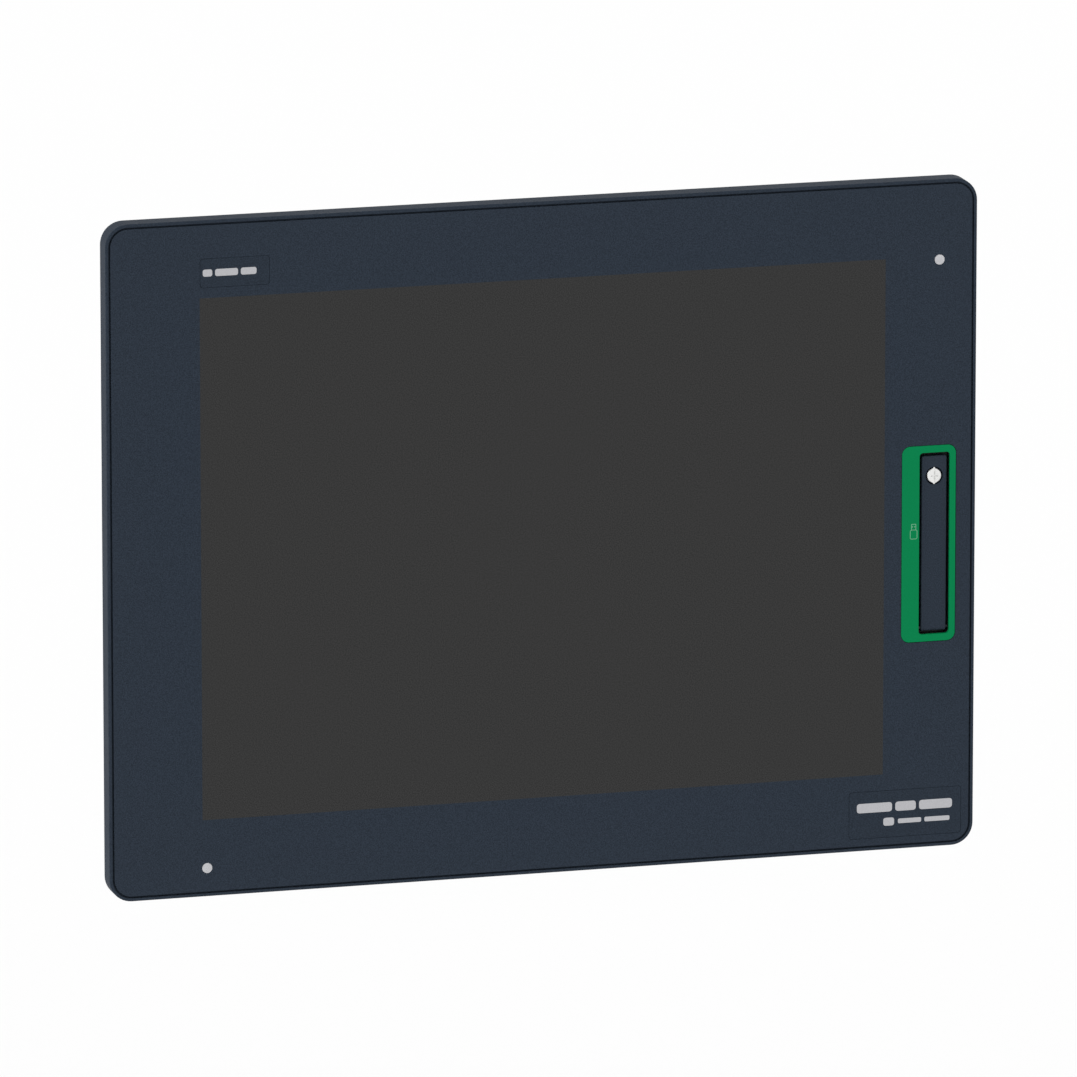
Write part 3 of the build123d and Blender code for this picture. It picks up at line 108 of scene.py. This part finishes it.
def make_studio():
    """White surroundings, one soft key light from the upper left, and a pale floor well below the unit."""
    world = bpy.data.worlds.new("studio")
    world.use_nodes = True
    background = world.node_tree.nodes["Background"]
    background.inputs["Color"].default_value = (1.0, 1.0, 1.0, 1.0)
    background.inputs["Strength"].default_value = WORLD_STRENGTH
    bpy.context.scene.world = world
    bpy.context.scene.view_settings.view_transform = "Standard"
    make_sun("key", KEY_TOWARDS, KEY_STRENGTH, KEY_SPREAD)
    mesh = bpy.data.meshes.new("floor")
    half, height = FLOOR_SIZE / 2, CAD_LOW.z - FLOOR_DROP
    corners = [(-half, -half, height), (half, -half, height), (half, half, height), (-half, half, height)]
    mesh.from_pydata(corners, [], [(0, 1, 2, 3)])
    floor = bpy.data.objects.new("floor", mesh)
    bpy.context.scene.collection.objects.link(floor)
    material, _, _, shader = new_material("floor_paint")
    shader.inputs["Base Color"].default_value = (FLOOR_TONE, FLOOR_TONE, FLOOR_TONE, 1.0)
    shader.inputs["Roughness"].default_value = 1.0
    shader.inputs["Specular IOR Level"].default_value = 0.0
    mesh.materials.append(material)


# ================================ materials ================================


def new_material(name):
    """A node material and its parts: (material, nodes, links, shader)."""
    material = bpy.data.materials.new(name)
    material.use_nodes = True
    tree = material.node_tree
    return material, tree.nodes, tree.links, tree.nodes["Principled BSDF"]


def noise(nodes, links, scale, detail=2.0, stretch=(1.0, 1.0, 1.0)):
    """A noise texture in the piece's own coordinates; scale is in features per metre. Returns its value."""
    coordinates = nodes.new("ShaderNodeTexCoord")
    mapping = nodes.new("ShaderNodeMapping")
    mapping.inputs["Scale"].default_value = stretch
    texture = nodes.new("ShaderNodeTexNoise")
    texture.inputs["Scale"].default_value = scale
    texture.inputs["Detail"].default_value = detail
    links.new(coordinates.outputs["Object"], mapping.inputs["Vector"])
    links.new(mapping.outputs["Vector"], texture.inputs["Vector"])
    return texture.outputs["Fac"]


def remap(nodes, links, value, low, high, from_low=0.3, from_high=0.7):
    """The value stretched from its usual span to low..high."""
    node = nodes.new("ShaderNodeMapRange")
    node.inputs["From Min"].default_value = from_low
    node.inputs["From Max"].default_value = from_high
    node.inputs["To Min"].default_value = low
    node.inputs["To Max"].default_value = high
    links.new(value, node.inputs["Value"])
    return node.outputs["Result"]


def mix_colours(nodes, links, factor, first, second):
    """first where the factor is 0 and second where it is 1; each is a colour or a socket."""
    node = nodes.new("ShaderNodeMix")
    node.data_type = "RGBA"
    links.new(factor, node.inputs["Factor"])
    for socket, colour in ((node.inputs["A"], first), (node.inputs["B"], second)):
        if isinstance(colour, bpy.types.NodeSocket):
            links.new(colour, socket)
        else:
            socket.default_value = (*colour, 1.0)
    return node.outputs["Result"]


def shade(colour, factor):
    """The colour made lighter or darker."""
    return tuple(min(1.0, channel * factor) for channel in colour)


def speckled(nodes, links, value, colour, dark, light):
    """The colour between a darker and a lighter shade of itself, as a noise value says."""
    factor = remap(nodes, links, value, 0.0, 1.0)
    return mix_colours(nodes, links, factor, shade(colour, dark), shade(colour, light))


def add_bump(nodes, links, shader, height, distance, strength=1.0):
    """Bump on the shader from a height value; distance is in metres."""
    bump = nodes.new("ShaderNodeBump")
    bump.inputs["Strength"].default_value = strength
    bump.inputs["Distance"].default_value = distance
    links.new(height, bump.inputs["Height"])
    links.new(bump.outputs["Normal"], shader.inputs["Normal"])


def moulded(name, colour, roughness=0.6, specular=0.06, grain=2600.0, contrast=0.10, relief=0.02):
    """Moulded or printed plastic: fine grain in colour and relief, and slow drifts in gloss."""
    material, nodes, links, shader = new_material(name)
    fine = noise(nodes, links, grain, detail=1.0)
    slow = noise(nodes, links, 18.0, detail=3.0)
    links.new(speckled(nodes, links, fine, colour, 1 - contrast, 1 + contrast), shader.inputs["Base Color"])
    links.new(remap(nodes, links, slow, roughness - 0.04, roughness + 0.04), shader.inputs["Roughness"])
    shader.inputs["Specular IOR Level"].default_value = specular
    add_bump(nodes, links, shader, fine, relief * MM, 0.6)
    return material


def metal(name, colour, roughness=0.3, streak=(1.0, 1.0, 1.0), relief=0.004, spread=0.10):
    """Bare or plated metal: brushed or rolled streaks in gloss, colour and relief."""
    material, nodes, links, shader = new_material(name)
    lines = noise(nodes, links, 900.0, detail=3.0, stretch=streak)
    patches = noise(nodes, links, 60.0, detail=4.0)
    links.new(speckled(nodes, links, patches, colour, 0.92, 1.05), shader.inputs["Base Color"])
    gloss = remap(nodes, links, lines, roughness - spread / 2, roughness + spread / 2)
    links.new(gloss, shader.inputs["Roughness"])
    shader.inputs["Metallic"].default_value = 1.0
    add_bump(nodes, links, shader, lines, relief * MM, 0.5)
    return material


def spangled(name, colour):
    """Zinc-plated sheet: faint angular crystals over fine rolling lines."""
    material, nodes, links, shader = new_material(name)
    coordinates = nodes.new("ShaderNodeTexCoord")
    crystals = nodes.new("ShaderNodeTexVoronoi")
    crystals.inputs["Scale"].default_value = 300.0
    links.new(coordinates.outputs["Object"], crystals.inputs["Vector"])
    grey = nodes.new("ShaderNodeSeparateColor")
    links.new(crystals.outputs["Color"], grey.inputs["Color"])
    facet = grey.outputs["Red"]
    tone = mix_colours(nodes, links, facet, shade(colour, 0.95), shade(colour, 1.04))
    links.new(tone, shader.inputs["Base Color"])
    links.new(remap(nodes, links, facet, 0.36, 0.42, 0.0, 1.0), shader.inputs["Roughness"])
    shader.inputs["Metallic"].default_value = 1.0
    rolling = noise(nodes, links, 700.0, detail=2.0, stretch=(0.05, 1.0, 1.0))
    add_bump(nodes, links, shader, rolling, 0.004 * MM, 0.4)
    return material


def rubber(name, colour):
    """Soft closed-cell rubber: matte, with fine pores."""
    material, nodes, links, shader = new_material(name)
    pores = noise(nodes, links, 1500.0, detail=3.0)
    links.new(speckled(nodes, links, pores, colour, 0.7, 1.3), shader.inputs["Base Color"])
    links.new(remap(nodes, links, pores, 0.75, 0.92), shader.inputs["Roughness"])
    shader.inputs["Specular IOR Level"].default_value = 0.25
    add_bump(nodes, links, shader, pores, 0.06 * MM, 0.8)
    return material


def display_window(name, colour):
    """Anti-glare film over an unlit display: an even dark grey with a very fine sparkle."""
    material, nodes, links, shader = new_material(name)
    sparkle = noise(nodes, links, 3000.0, detail=0.0)
    drift = noise(nodes, links, 9.0, detail=1.0)
    links.new(speckled(nodes, links, sparkle, colour, 0.72, 1.28), shader.inputs["Base Color"])
    links.new(remap(nodes, links, drift, 0.42, 0.48), shader.inputs["Roughness"])
    shader.inputs["Specular IOR Level"].default_value = 0.05
    add_bump(nodes, links, shader, sparkle, 0.01 * MM, 0.4)
    return material


def clear_plastic(name, colour):
    """Milky clear plastic of a light pipe or lens."""
    material, nodes, links, shader = new_material(name)
    cloud = noise(nodes, links, 500.0, detail=3.0)
    links.new(speckled(nodes, links, cloud, colour, 0.94, 1.04), shader.inputs["Base Color"])
    links.new(remap(nodes, links, cloud, 0.16, 0.28), shader.inputs["Roughness"])
    shader.inputs["Subsurface Weight"].default_value = 0.3
    shader.inputs["Subsurface Radius"].default_value = (1.0 * MM, 1.0 * MM, 1.0 * MM)
    add_bump(nodes, links, shader, cloud, 0.004 * MM, 0.4)
    return material


def glass(name, colour, roughness=0.05):
    """Thin technical glass with faint smears."""
    material, nodes, links, shader = new_material(name)
    smear = noise(nodes, links, 30.0, detail=4.0)
    links.new(speckled(nodes, links, smear, colour, 0.97, 1.02), shader.inputs["Base Color"])
    links.new(remap(nodes, links, smear, roughness, roughness + 0.05), shader.inputs["Roughness"])
    shader.inputs["Transmission Weight"].default_value = 0.85
    shader.inputs["IOR"].default_value = 1.5
    return material


def circuit_board(name, colour):
    """Solder mask with routed tracks that show as a lighter green under it."""
    material, nodes, links, shader = new_material(name)
    coordinates = nodes.new("ShaderNodeTexCoord")
    mapping = nodes.new("ShaderNodeMapping")
    mapping.inputs["Rotation"].default_value = (math.radians(90), 0.0, 0.0)
    tracks = nodes.new("ShaderNodeTexBrick")
    tracks.inputs["Scale"].default_value = 90.0
    tracks.inputs["Mortar Size"].default_value = 0.05
    tracks.inputs["Mortar Smooth"].default_value = 0.2
    tracks.inputs["Color1"].default_value = (*colour, 1.0)
    tracks.inputs["Color2"].default_value = (*shade(colour, 0.8), 1.0)
    tracks.inputs["Mortar"].default_value = (*shade(colour, 1.9), 1.0)
    links.new(coordinates.outputs["Object"], mapping.inputs["Vector"])
    links.new(mapping.outputs["Vector"], tracks.inputs["Vector"])
    weave = noise(nodes, links, 1200.0, detail=2.0)
    fibres = remap(nodes, links, weave, 0.0, 0.35)
    tone = mix_colours(nodes, links, fibres, tracks.outputs["Color"], shade(colour, 1.3))
    links.new(tone, shader.inputs["Base Color"])
    links.new(remap(nodes, links, weave, 0.28, 0.42), shader.inputs["Roughness"])
    add_bump(nodes, links, shader, tracks.outputs["Fac"], 0.03 * MM, -0.4)
    return material


NAVY = (0.0233, 0.0321, 0.0463)
FILM_INK = (0.0234, 0.0322, 0.0465)
LABEL_TONE = (0.0222, 0.0307, 0.0441)

# one material for each of the record's slots
SLOT_MATERIALS = {
    "navy_plastic": lambda: moulded("navy_plastic", NAVY, contrast=0.30, relief=0.03),
    "overlay_print": lambda: moulded("overlay_print", FILM_INK, contrast=0.30, relief=0.012),
    "label_plate": lambda: moulded("label_plate", LABEL_TONE, contrast=0.30, relief=0.008),
    "label_ink": lambda: moulded("label_ink", (0.455, 0.455, 0.475), contrast=0.06, relief=0.005),
    "port_ink": lambda: moulded("port_ink", (0.174, 0.435, 0.272), contrast=0.06, relief=0.005),
    "screen_film": lambda: display_window("screen_film", (0.0356, 0.0356, 0.0356)),
    "screen_glass": lambda: glass("screen_glass", (0.80, 0.86, 0.86)),
    "black_rubber": lambda: rubber("black_rubber", (0.022, 0.022, 0.024)),
    "green_plastic": lambda: moulded("green_plastic", (0.0002, 0.201, 0.0653), contrast=0.05),
    "black_plastic": lambda: moulded(
        "black_plastic", (0.013, 0.013, 0.014), roughness=0.45, specular=0.35, contrast=0.15
    ),
    "clear_plastic": lambda: clear_plastic("clear_plastic", (0.50, 0.50, 0.52)),
    "screw_steel": lambda: metal("screw_steel", (0.80, 0.80, 0.79), roughness=0.34),
    "black_steel": lambda: metal("black_steel", (0.035, 0.035, 0.04), roughness=0.45),
    "socket_steel": lambda: metal(
        "socket_steel", (0.74, 0.74, 0.73), roughness=0.26, streak=(1.0, 1.0, 0.12)
    ),
    "sheet_steel": lambda: spangled("sheet_steel", (0.60, 0.61, 0.62)),
    "housing_plastic": lambda: moulded(
        "housing_plastic", (0.030, 0.032, 0.036), roughness=0.62, specular=0.3,
        grain=1100.0, contrast=0.22, relief=0.09,
    ),
    "lcd_glass": lambda: glass("lcd_glass", (0.02, 0.02, 0.022), roughness=0.2),
    "light_guide": lambda: clear_plastic("light_guide", (0.86, 0.87, 0.88)),
    "amber_flex": lambda: moulded(
        "amber_flex", (0.50, 0.20, 0.03), roughness=0.3, specular=0.5, contrast=0.08
    ),
    "circuit_board": lambda: circuit_board("circuit_board", (0.012, 0.105, 0.040)),
    "chip_epoxy": lambda: moulded("chip_epoxy", (0.014, 0.014, 0.015), contrast=0.25),
    "capacitor_can": lambda: metal("capacitor_can", (0.80, 0.80, 0.82), roughness=0.24),
    "black_aluminium": lambda: metal(
        "black_aluminium", (0.045, 0.045, 0.05), roughness=0.42, streak=(1.0, 1.0, 0.08)
    ),
    "brass": lambda: metal("brass", (0.80, 0.58, 0.24), roughness=0.24),
    "gold_contact": lambda: metal("gold_contact", (1.00, 0.74, 0.33), roughness=0.2),
    "plug_plastic": lambda: moulded(
        "plug_plastic", (0.012, 0.170, 0.050), roughness=0.42, specular=0.4, contrast=0.08
    ),
    "terminal_steel": lambda: metal("terminal_steel", (0.72, 0.72, 0.71), roughness=0.34),
}
MATERIALS = {slot: make() for slot, make in SLOT_MATERIALS.items()}


def dress_cad_nodes():
    """Gives every CAD node the material of its slot in the record."""
    for row in frame["record"]["subparts"]:
        mesh = NODES[row["node"]].data
        mesh.materials.clear()
        mesh.materials.append(MATERIALS[row["material_slot"]])


# ================================ mesh helpers ================================


def add_piece(name, mesh, body, slot, smooth=False):
    """Turns a bmesh into a finished piece on a CAD body."""
    bmesh.ops.recalc_face_normals(mesh, faces=mesh.faces)
    data = bpy.data.meshes.new(name)
    mesh.to_mesh(data)
    mesh.free()
    for polygon in data.polygons:
        polygon.use_smooth = smooth
    data.materials.append(MATERIALS[slot])
    piece = bpy.data.objects.new(name, data)
    bpy.context.scene.collection.objects.link(piece)
    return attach(piece, body)


def pill(centre, width, height, radius, steps=6):
    """Outline of a rounded rectangle, anticlockwise, as (u, v) points."""
    points = []
    for quarter, (su, sv) in enumerate(((1, 1), (-1, 1), (-1, -1), (1, -1))):
        middle = (centre[0] + su * (width / 2 - radius), centre[1] + sv * (height / 2 - radius))
        for step in range(steps + 1):
            angle = math.pi / 2 * (quarter + step / steps)
            points.append((middle[0] + radius * math.cos(angle), middle[1] + radius * math.sin(angle)))
    return points


def add_prism(mesh, outline, place, low, high, hole=None, round_top=0.0):
    """A closed prism over an outline, with an optional hole; place(u, v, w) gives a point in the frame."""
    def loop(points, depth, inset=0.0):
        middle_u = sum(p[0] for p in points) / len(points)
        middle_v = sum(p[1] for p in points) / len(points)
        verts = []
        for u, v in points:
            away = Vector((u - middle_u, v - middle_v))
            away = away.normalized() * inset if away.length > 0 else away
            verts.append(mesh.verts.new(place(u - away.x, v - away.y, depth)))
        return verts

    def wall(first, second):
        for i in range(len(first)):
            j = (i + 1) % len(first)
            mesh.faces.new((first[i], first[j], second[j], second[i]))

    levels = [(low, 0.0), (high - round_top, 0.0)]
    if round_top:
        levels.append((high, round_top))
    outer = [loop(outline, depth, inset) for depth, inset in levels]
    for first, second in zip(outer, outer[1:]):
        wall(first, second)
    if hole is None:
        mesh.faces.new(outer[0])
        mesh.faces.new(outer[-1])
        return
    inner = [loop(hole, depth, -inset) for depth, inset in levels]
    for first, second in zip(inner, inner[1:]):
        wall(second, first)
    wall(outer[0], inner[0])
    wall(outer[-1], inner[-1])


def front_place(y):
    """Place function for flat marks on the front: u is X, v is Z and w stands out of the plane y."""
    return lambda u, v, w: (u, y - w, v)


# ================================ front marks ================================

INK, INK_SUNK = 0.03 * MM, -0.02 * MM
BAR_ROUNDNESS = 0.3

# upper label: bar height, then (start, width) from the row's left end, in millimetres
UPPER_BAR_H = 2.5
UPPER_BARS = ((0.0, 3.4), (4.4, 8.2), (13.6, 5.6))

# lower label: (start, width, drop, height) from the first row's right end, in millimetres
LOWER_BARS = (
    (-35.2, 13.0, 0.0, 3.4),
    (-21.0, 7.6, 0.0, 3.4),
    (-12.2, 12.2, 0.0, 3.4),
    (-25.4, 4.0, 5.4, 2.9),
    (-20.0, 8.6, 5.4, 1.7),
    (-10.2, 9.3, 5.4, 1.7),
)


def add_bar(mesh, place, left, middle_z, width, height):
    """A rounded pale bar; width and height in millimetres."""
    centre = (left + width / 2 * MM, middle_z)
    add_prism(mesh, pill(centre, width * MM, height * MM, height * BAR_ROUNDNESS * MM), place, INK_SUNK, INK)


def add_label_marks():
    """Generic pale marks on the two label plates: one row of bars above, and two rows below."""
    low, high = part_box("label_plates")
    place = front_place(low.y)
    marks = bmesh.new()
    left, row_z = low.x + 0.9 * MM, high.z - 5.0 * MM
    for start, width in UPPER_BARS:
        add_bar(marks, place, left + start * MM, row_z, width, UPPER_BAR_H)
    add_piece("upper_label_mark", marks, "root", "label_ink")

    marks = bmesh.new()
    right, row_z = high.x - 3.2 * MM, low.z + 11.0 * MM
    for start, width, drop, height in LOWER_BARS:
        add_bar(marks, place, right + start * MM, row_z - drop * MM, width, height)
    add_piece("lower_label_mark", marks, "root", "label_ink")


def add_port_mark():
    """A small line drawing of a plug beside the cover, in place of a port symbol."""
    frame_low, frame_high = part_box("usb_frame")
    cover_low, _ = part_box("usb_cover")
    centre_x = (frame_low.x + cover_low.x - 1.0 * MM) / 2 + 1.1 * MM
    centre_z = (frame_low.z + frame_high.z) / 2 + 4.6 * MM
    place = front_place(frame_low.y)
    line = 0.2 * MM
    mark = bmesh.new()
    for lift, width, height, corner in ((-0.95, 2.7, 3.4, 0.6), (1.75, 1.8, 2.2, 0.2)):
        middle = (centre_x, centre_z + lift * MM)
        outer = pill(middle, width * MM, height * MM, corner * MM)
        inner = pill(middle, width * MM - 2 * line, height * MM - 2 * line, corner * MM * 0.5)
        add_prism(mark, outer, place, INK_SUNK, INK, hole=inner)
    for side in (-1, 1):
        spot = (centre_x + side * 0.42 * MM, centre_z + 1.85 * MM)
        add_prism(mark, pill(spot, 0.3 * MM, 0.45 * MM, 0.05 * MM, 2), place, INK_SUNK, INK)
    add_piece("port_mark", mark, "root", "port_ink")


# ================================ cover screw ================================

SCREW_STEPS = 48
HEAD_R, HEAD_POINT, HEAD_BACK = 2.65 * MM, 3.1 * MM, 1.6 * MM

# the head's outline: (share of its radius, depth behind the CAD head's front in millimetres)
HEAD_PROFILE = ((0.55, 0.3), (0.80, 0.35), (0.93, 0.48), (1.0, 0.72), (1.0, 1.6))

# slot and cross wings: (width, height, depth) in millimetres; they start in front of the head
RECESSES = ((0.62, 7.0, 0.70), (2.6, 0.55, 0.95), (0.55, 2.6, 0.95))
RECESS_START = -0.5 * MM


def add_cover_screw():
    """The captive screw: a domed head with two points, a slot with a cross recess, and a real thread."""
    low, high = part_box("cover_screw")
    centre = Vector(((low.x + high.x) / 2, 0.0, (low.z + high.z) / 2))
    screw = bmesh.new()

    def rim(angle):
        """Head radius at an angle from the vertical, with straight tangents to the two points."""
        turn = math.acos(HEAD_R / HEAD_POINT)
        off = abs(math.atan2(math.sin(angle), math.cos(angle)))
        off = min(off, math.pi - off)
        return HEAD_R / math.cos(turn - off) if off < turn else HEAD_R

    rings = []
    for share, depth in HEAD_PROFILE:
        ring = []
        for i in range(SCREW_STEPS):
            angle = 2 * math.pi * i / SCREW_STEPS
            size = rim(angle) * share
            ring.append(screw.verts.new((
                centre.x + size * math.sin(angle), low.y + depth * MM, centre.z + size * math.cos(angle)
            )))
        rings.append(ring)
    for first, second in zip(rings, rings[1:]):
        for i in range(SCREW_STEPS):
            j = (i + 1) % SCREW_STEPS
            screw.faces.new((first[i], first[j], second[j], second[i]))
    screw.faces.new(rings[0])
    screw.faces.new(rings[-1])
    head = add_piece("cover_screw_head", screw, "cover_screw", "screw_steel")
    cut_recess(head, centre, low.y)
    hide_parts("cover_screw")
    add_thread("cover_screw_thread", centre, low.y + HEAD_BACK, high.y, 1.45 * MM, 1.22 * MM, 0.5 * MM)


def cut_recess(head, centre, front):
    """Cuts the full-width slot and the shorter, deeper cross wing out of the head."""
    place = lambda u, v, w: (centre.x + u, front + w, centre.z + v)
    for width, height, depth in RECESSES:
        half_w, half_h = width / 2 * MM, height / 2 * MM
        outline = [(-half_w, -half_h), (half_w, -half_h), (half_w, half_h), (-half_w, half_h)]
        part = bmesh.new()
        add_prism(part, outline, place, RECESS_START, depth * MM)
        bmesh.ops.recalc_face_normals(part, faces=part.faces)
        temporary = bpy.data.meshes.new("recess_part")
        part.to_mesh(temporary)
        part.free()
        cutter = bpy.data.objects.new("recess_cutter", temporary)
        bpy.context.scene.collection.objects.link(cutter)
        apply_boolean(head, cutter)
        bpy.data.objects.remove(cutter)


def apply_boolean(target, cutter):
    """Subtracts the cutter from the target and keeps the result as the target's mesh."""
    modifier = target.modifiers.new("cut", "BOOLEAN")
    modifier.operation = "DIFFERENCE"
    modifier.solver = "EXACT"
    modifier.object = cutter
    bpy.context.view_layer.update()
    evaluated = target.evaluated_get(bpy.context.evaluated_depsgraph_get())
    result = bpy.data.meshes.new_from_object(evaluated)
    target.modifiers.clear()
    result.name = target.name
    target.data = result


def add_thread(name, centre, start, end, crest, root, pitch, steps=36):
    """A threaded shank along +Y: a cylinder whose radius follows the helix, closed at both ends."""
    rows = int(round((end - start) / pitch * 10))
    thread = bmesh.new()
    rings = []
    for row in range(rows + 1):
        y = start + (end - start) * row / rows
        taper = min(1.0, (end - y) / (0.45 * MM), (y - start) / (0.3 * MM))
        ring = []
        for i in range(steps):
            phase = (y / pitch - i / steps) % 1.0
            ridge = max(0.0, 1.0 - abs(phase - 0.5) * 2.4) * max(0.0, taper)
            size = root + (crest - root) * ridge
            angle = 2 * math.pi * i / steps
            ring.append(thread.verts.new((
                centre.x + size * math.sin(angle), y, centre.z + size * math.cos(angle)
            )))
        rings.append(ring)
    for first, second in zip(rings, rings[1:]):
        for i in range(steps):
            j = (i + 1) % steps
            thread.faces.new((first[i], first[j], second[j], second[i]))
    thread.faces.new(rings[0])
    thread.faces.new(rings[-1])
    add_piece(name, thread, "cover_screw", "screw_steel", smooth=True)


# ================================ contacts and small fittings ================================


def add_ribbon(mesh, path, across, width, thickness):
    """A bent metal strip: path is a list of points, across the unit vector of its width."""
    across = Vector(across)
    rings = []
    for i, point in enumerate(path):
        before, after = path[max(i - 1, 0)], path[min(i + 1, len(path) - 1)]
        along = (Vector(after) - Vector(before)).normalized()
        normal = along.cross(across).normalized() * thickness / 2
        side = across * width / 2
        middle = Vector(point)
        rings.append([mesh.verts.new(middle + a + b) for a, b in (
            (side, normal), (-side, normal), (-side, -normal), (side, -normal))])
    for first, second in zip(rings, rings[1:]):
        for i in range(4):
            j = (i + 1) % 4
            mesh.faces.new((first[i], first[j], second[j], second[i]))
    mesh.faces.new(rings[0])
    mesh.faces.new(rings[-1])


JACK_GAP, JACK_WIRES, JACK_PITCH = 2 * MM, 8, 1.02 * MM
USB_SHELL_W, TONGUE_FACE = 13.1 * MM, 0.25 * MM

# the four strips on a tongue: offsets across it, and a path of (share of its depth, lift), in millimetres
USB_STRIPS = (-3.5, -1.0, 1.0, 3.5)
USB_STRIP_PATH = ((0.16, 0.0), (0.21, 0.14), (0.30, 0.22), (0.45, 0.12), (0.75, 0.05))


def add_ethernet_contacts():
    """Eight sprung wires in each network jack, and two small indicator lenses at each jack's face."""
    low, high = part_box("ethernet_shells")
    width = (high.x - low.x - JACK_GAP) / 2
    wires, lenses = bmesh.new(), bmesh.new()
    for centre_x in (low.x + width / 2, high.x - width / 2):
        for i in range(JACK_WIRES):
            x = centre_x + (i - (JACK_WIRES - 1) / 2) * JACK_PITCH
            y = low.y + 3.0 * MM
            path = [
                (x, y, low.z + 11.5 * MM),
                (x, y + 0.5 * MM, low.z + 9.5 * MM),
                (x, y + 1.9 * MM, low.z + 5.0 * MM),
                (x, y + 1.7 * MM, low.z + 4.2 * MM),
                (x, y + 0.9 * MM, low.z + 3.8 * MM),
            ]
            add_ribbon(wires, path, (1, 0, 0), 0.45 * MM, 0.3 * MM)
        for side in (-1, 1):
            centre = (centre_x + side * 5.6 * MM, high.y - 1.9 * MM)
            add_prism(
                lenses, pill(centre, 2.6 * MM, 1.7 * MM, 0.3 * MM, 3),
                lambda u, v, w: (u, v, low.z + 0.35 * MM - w), -1.0 * MM, 0.4 * MM,
            )
    add_piece("ethernet_contacts", wires, "root", "gold_contact")
    add_piece("ethernet_indicator_lenses", lenses, "root", "clear_plastic")


def add_usb_contacts():
    """Four gold strips on the tongue of each type A socket, front and rear."""
    low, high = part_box("rear_usb_shells")
    strips = bmesh.new()
    for centre_x in (low.x + USB_SHELL_W / 2, high.x - USB_SHELL_W / 2):
        tongue = Vector((centre_x, (low.y + high.y) / 2 - TONGUE_FACE, low.z))
        add_strips(strips, tongue, (1, 0, 0), (0, 0, 1), (0, 1, 0), high.z - low.z)
    add_piece("rear_usb_contacts", strips, "root", "gold_contact")

    low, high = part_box("front_usb_a_shell")
    strips = bmesh.new()
    tongue = Vector(((low.x + high.x) / 2 + TONGUE_FACE, low.y, (low.z + high.z) / 2))
    add_strips(strips, tongue, (0, 0, 1), (0, 1, 0), (-1, 0, 0), high.y - low.y)
    add_piece("front_usb_contacts", strips, "root", "gold_contact")


def add_strips(mesh, tongue, across, inward, outward, depth):
    """Four sprung strips that start at the mouth of a socket and bow off the tongue's face."""
    across, inward, outward = Vector(across), Vector(inward), Vector(outward)
    for offset in USB_STRIPS:
        base = tongue + across * offset * MM
        path = [
            base + inward * share * depth + outward * lift * MM
            for share, lift in USB_STRIP_PATH
        ]
        add_ribbon(mesh, path, across, 1.05 * MM, 0.12 * MM)


PLATE_SIDEWAYS, PLATE_DROP = 0.38, 30 * MM  # share of the box's half width, and distance below its middle


def add_rating_plate():
    """A blank grey plate on the back of the control box, with a fine raised border."""
    low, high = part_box("control_box")
    centre = (low.x * -PLATE_SIDEWAYS, (low.z + high.z) / 2 - PLATE_DROP)
    plate = bmesh.new()
    place = lambda u, v, w: (u, high.y + w, v)
    sheet = pill(centre, 70 * MM, 34 * MM, 2 * MM)
    add_prism(plate, sheet, place, -0.02 * MM, 0.12 * MM, round_top=0.05 * MM)
    add_prism(
        plate, pill(centre, 66 * MM, 30 * MM, 1.2 * MM), place, 0.11 * MM, 0.16 * MM,
        hole=pill(centre, 65 * MM, 29 * MM, 0.9 * MM),
    )
    add_piece("rating_plate", plate, "root", "label_ink")


# ================================ assembly ================================

make_camera()
make_studio()
dress_cad_nodes()
add_label_marks()
add_port_mark()
add_cover_screw()
add_ethernet_contacts()
add_usb_contacts()
add_rating_plate()
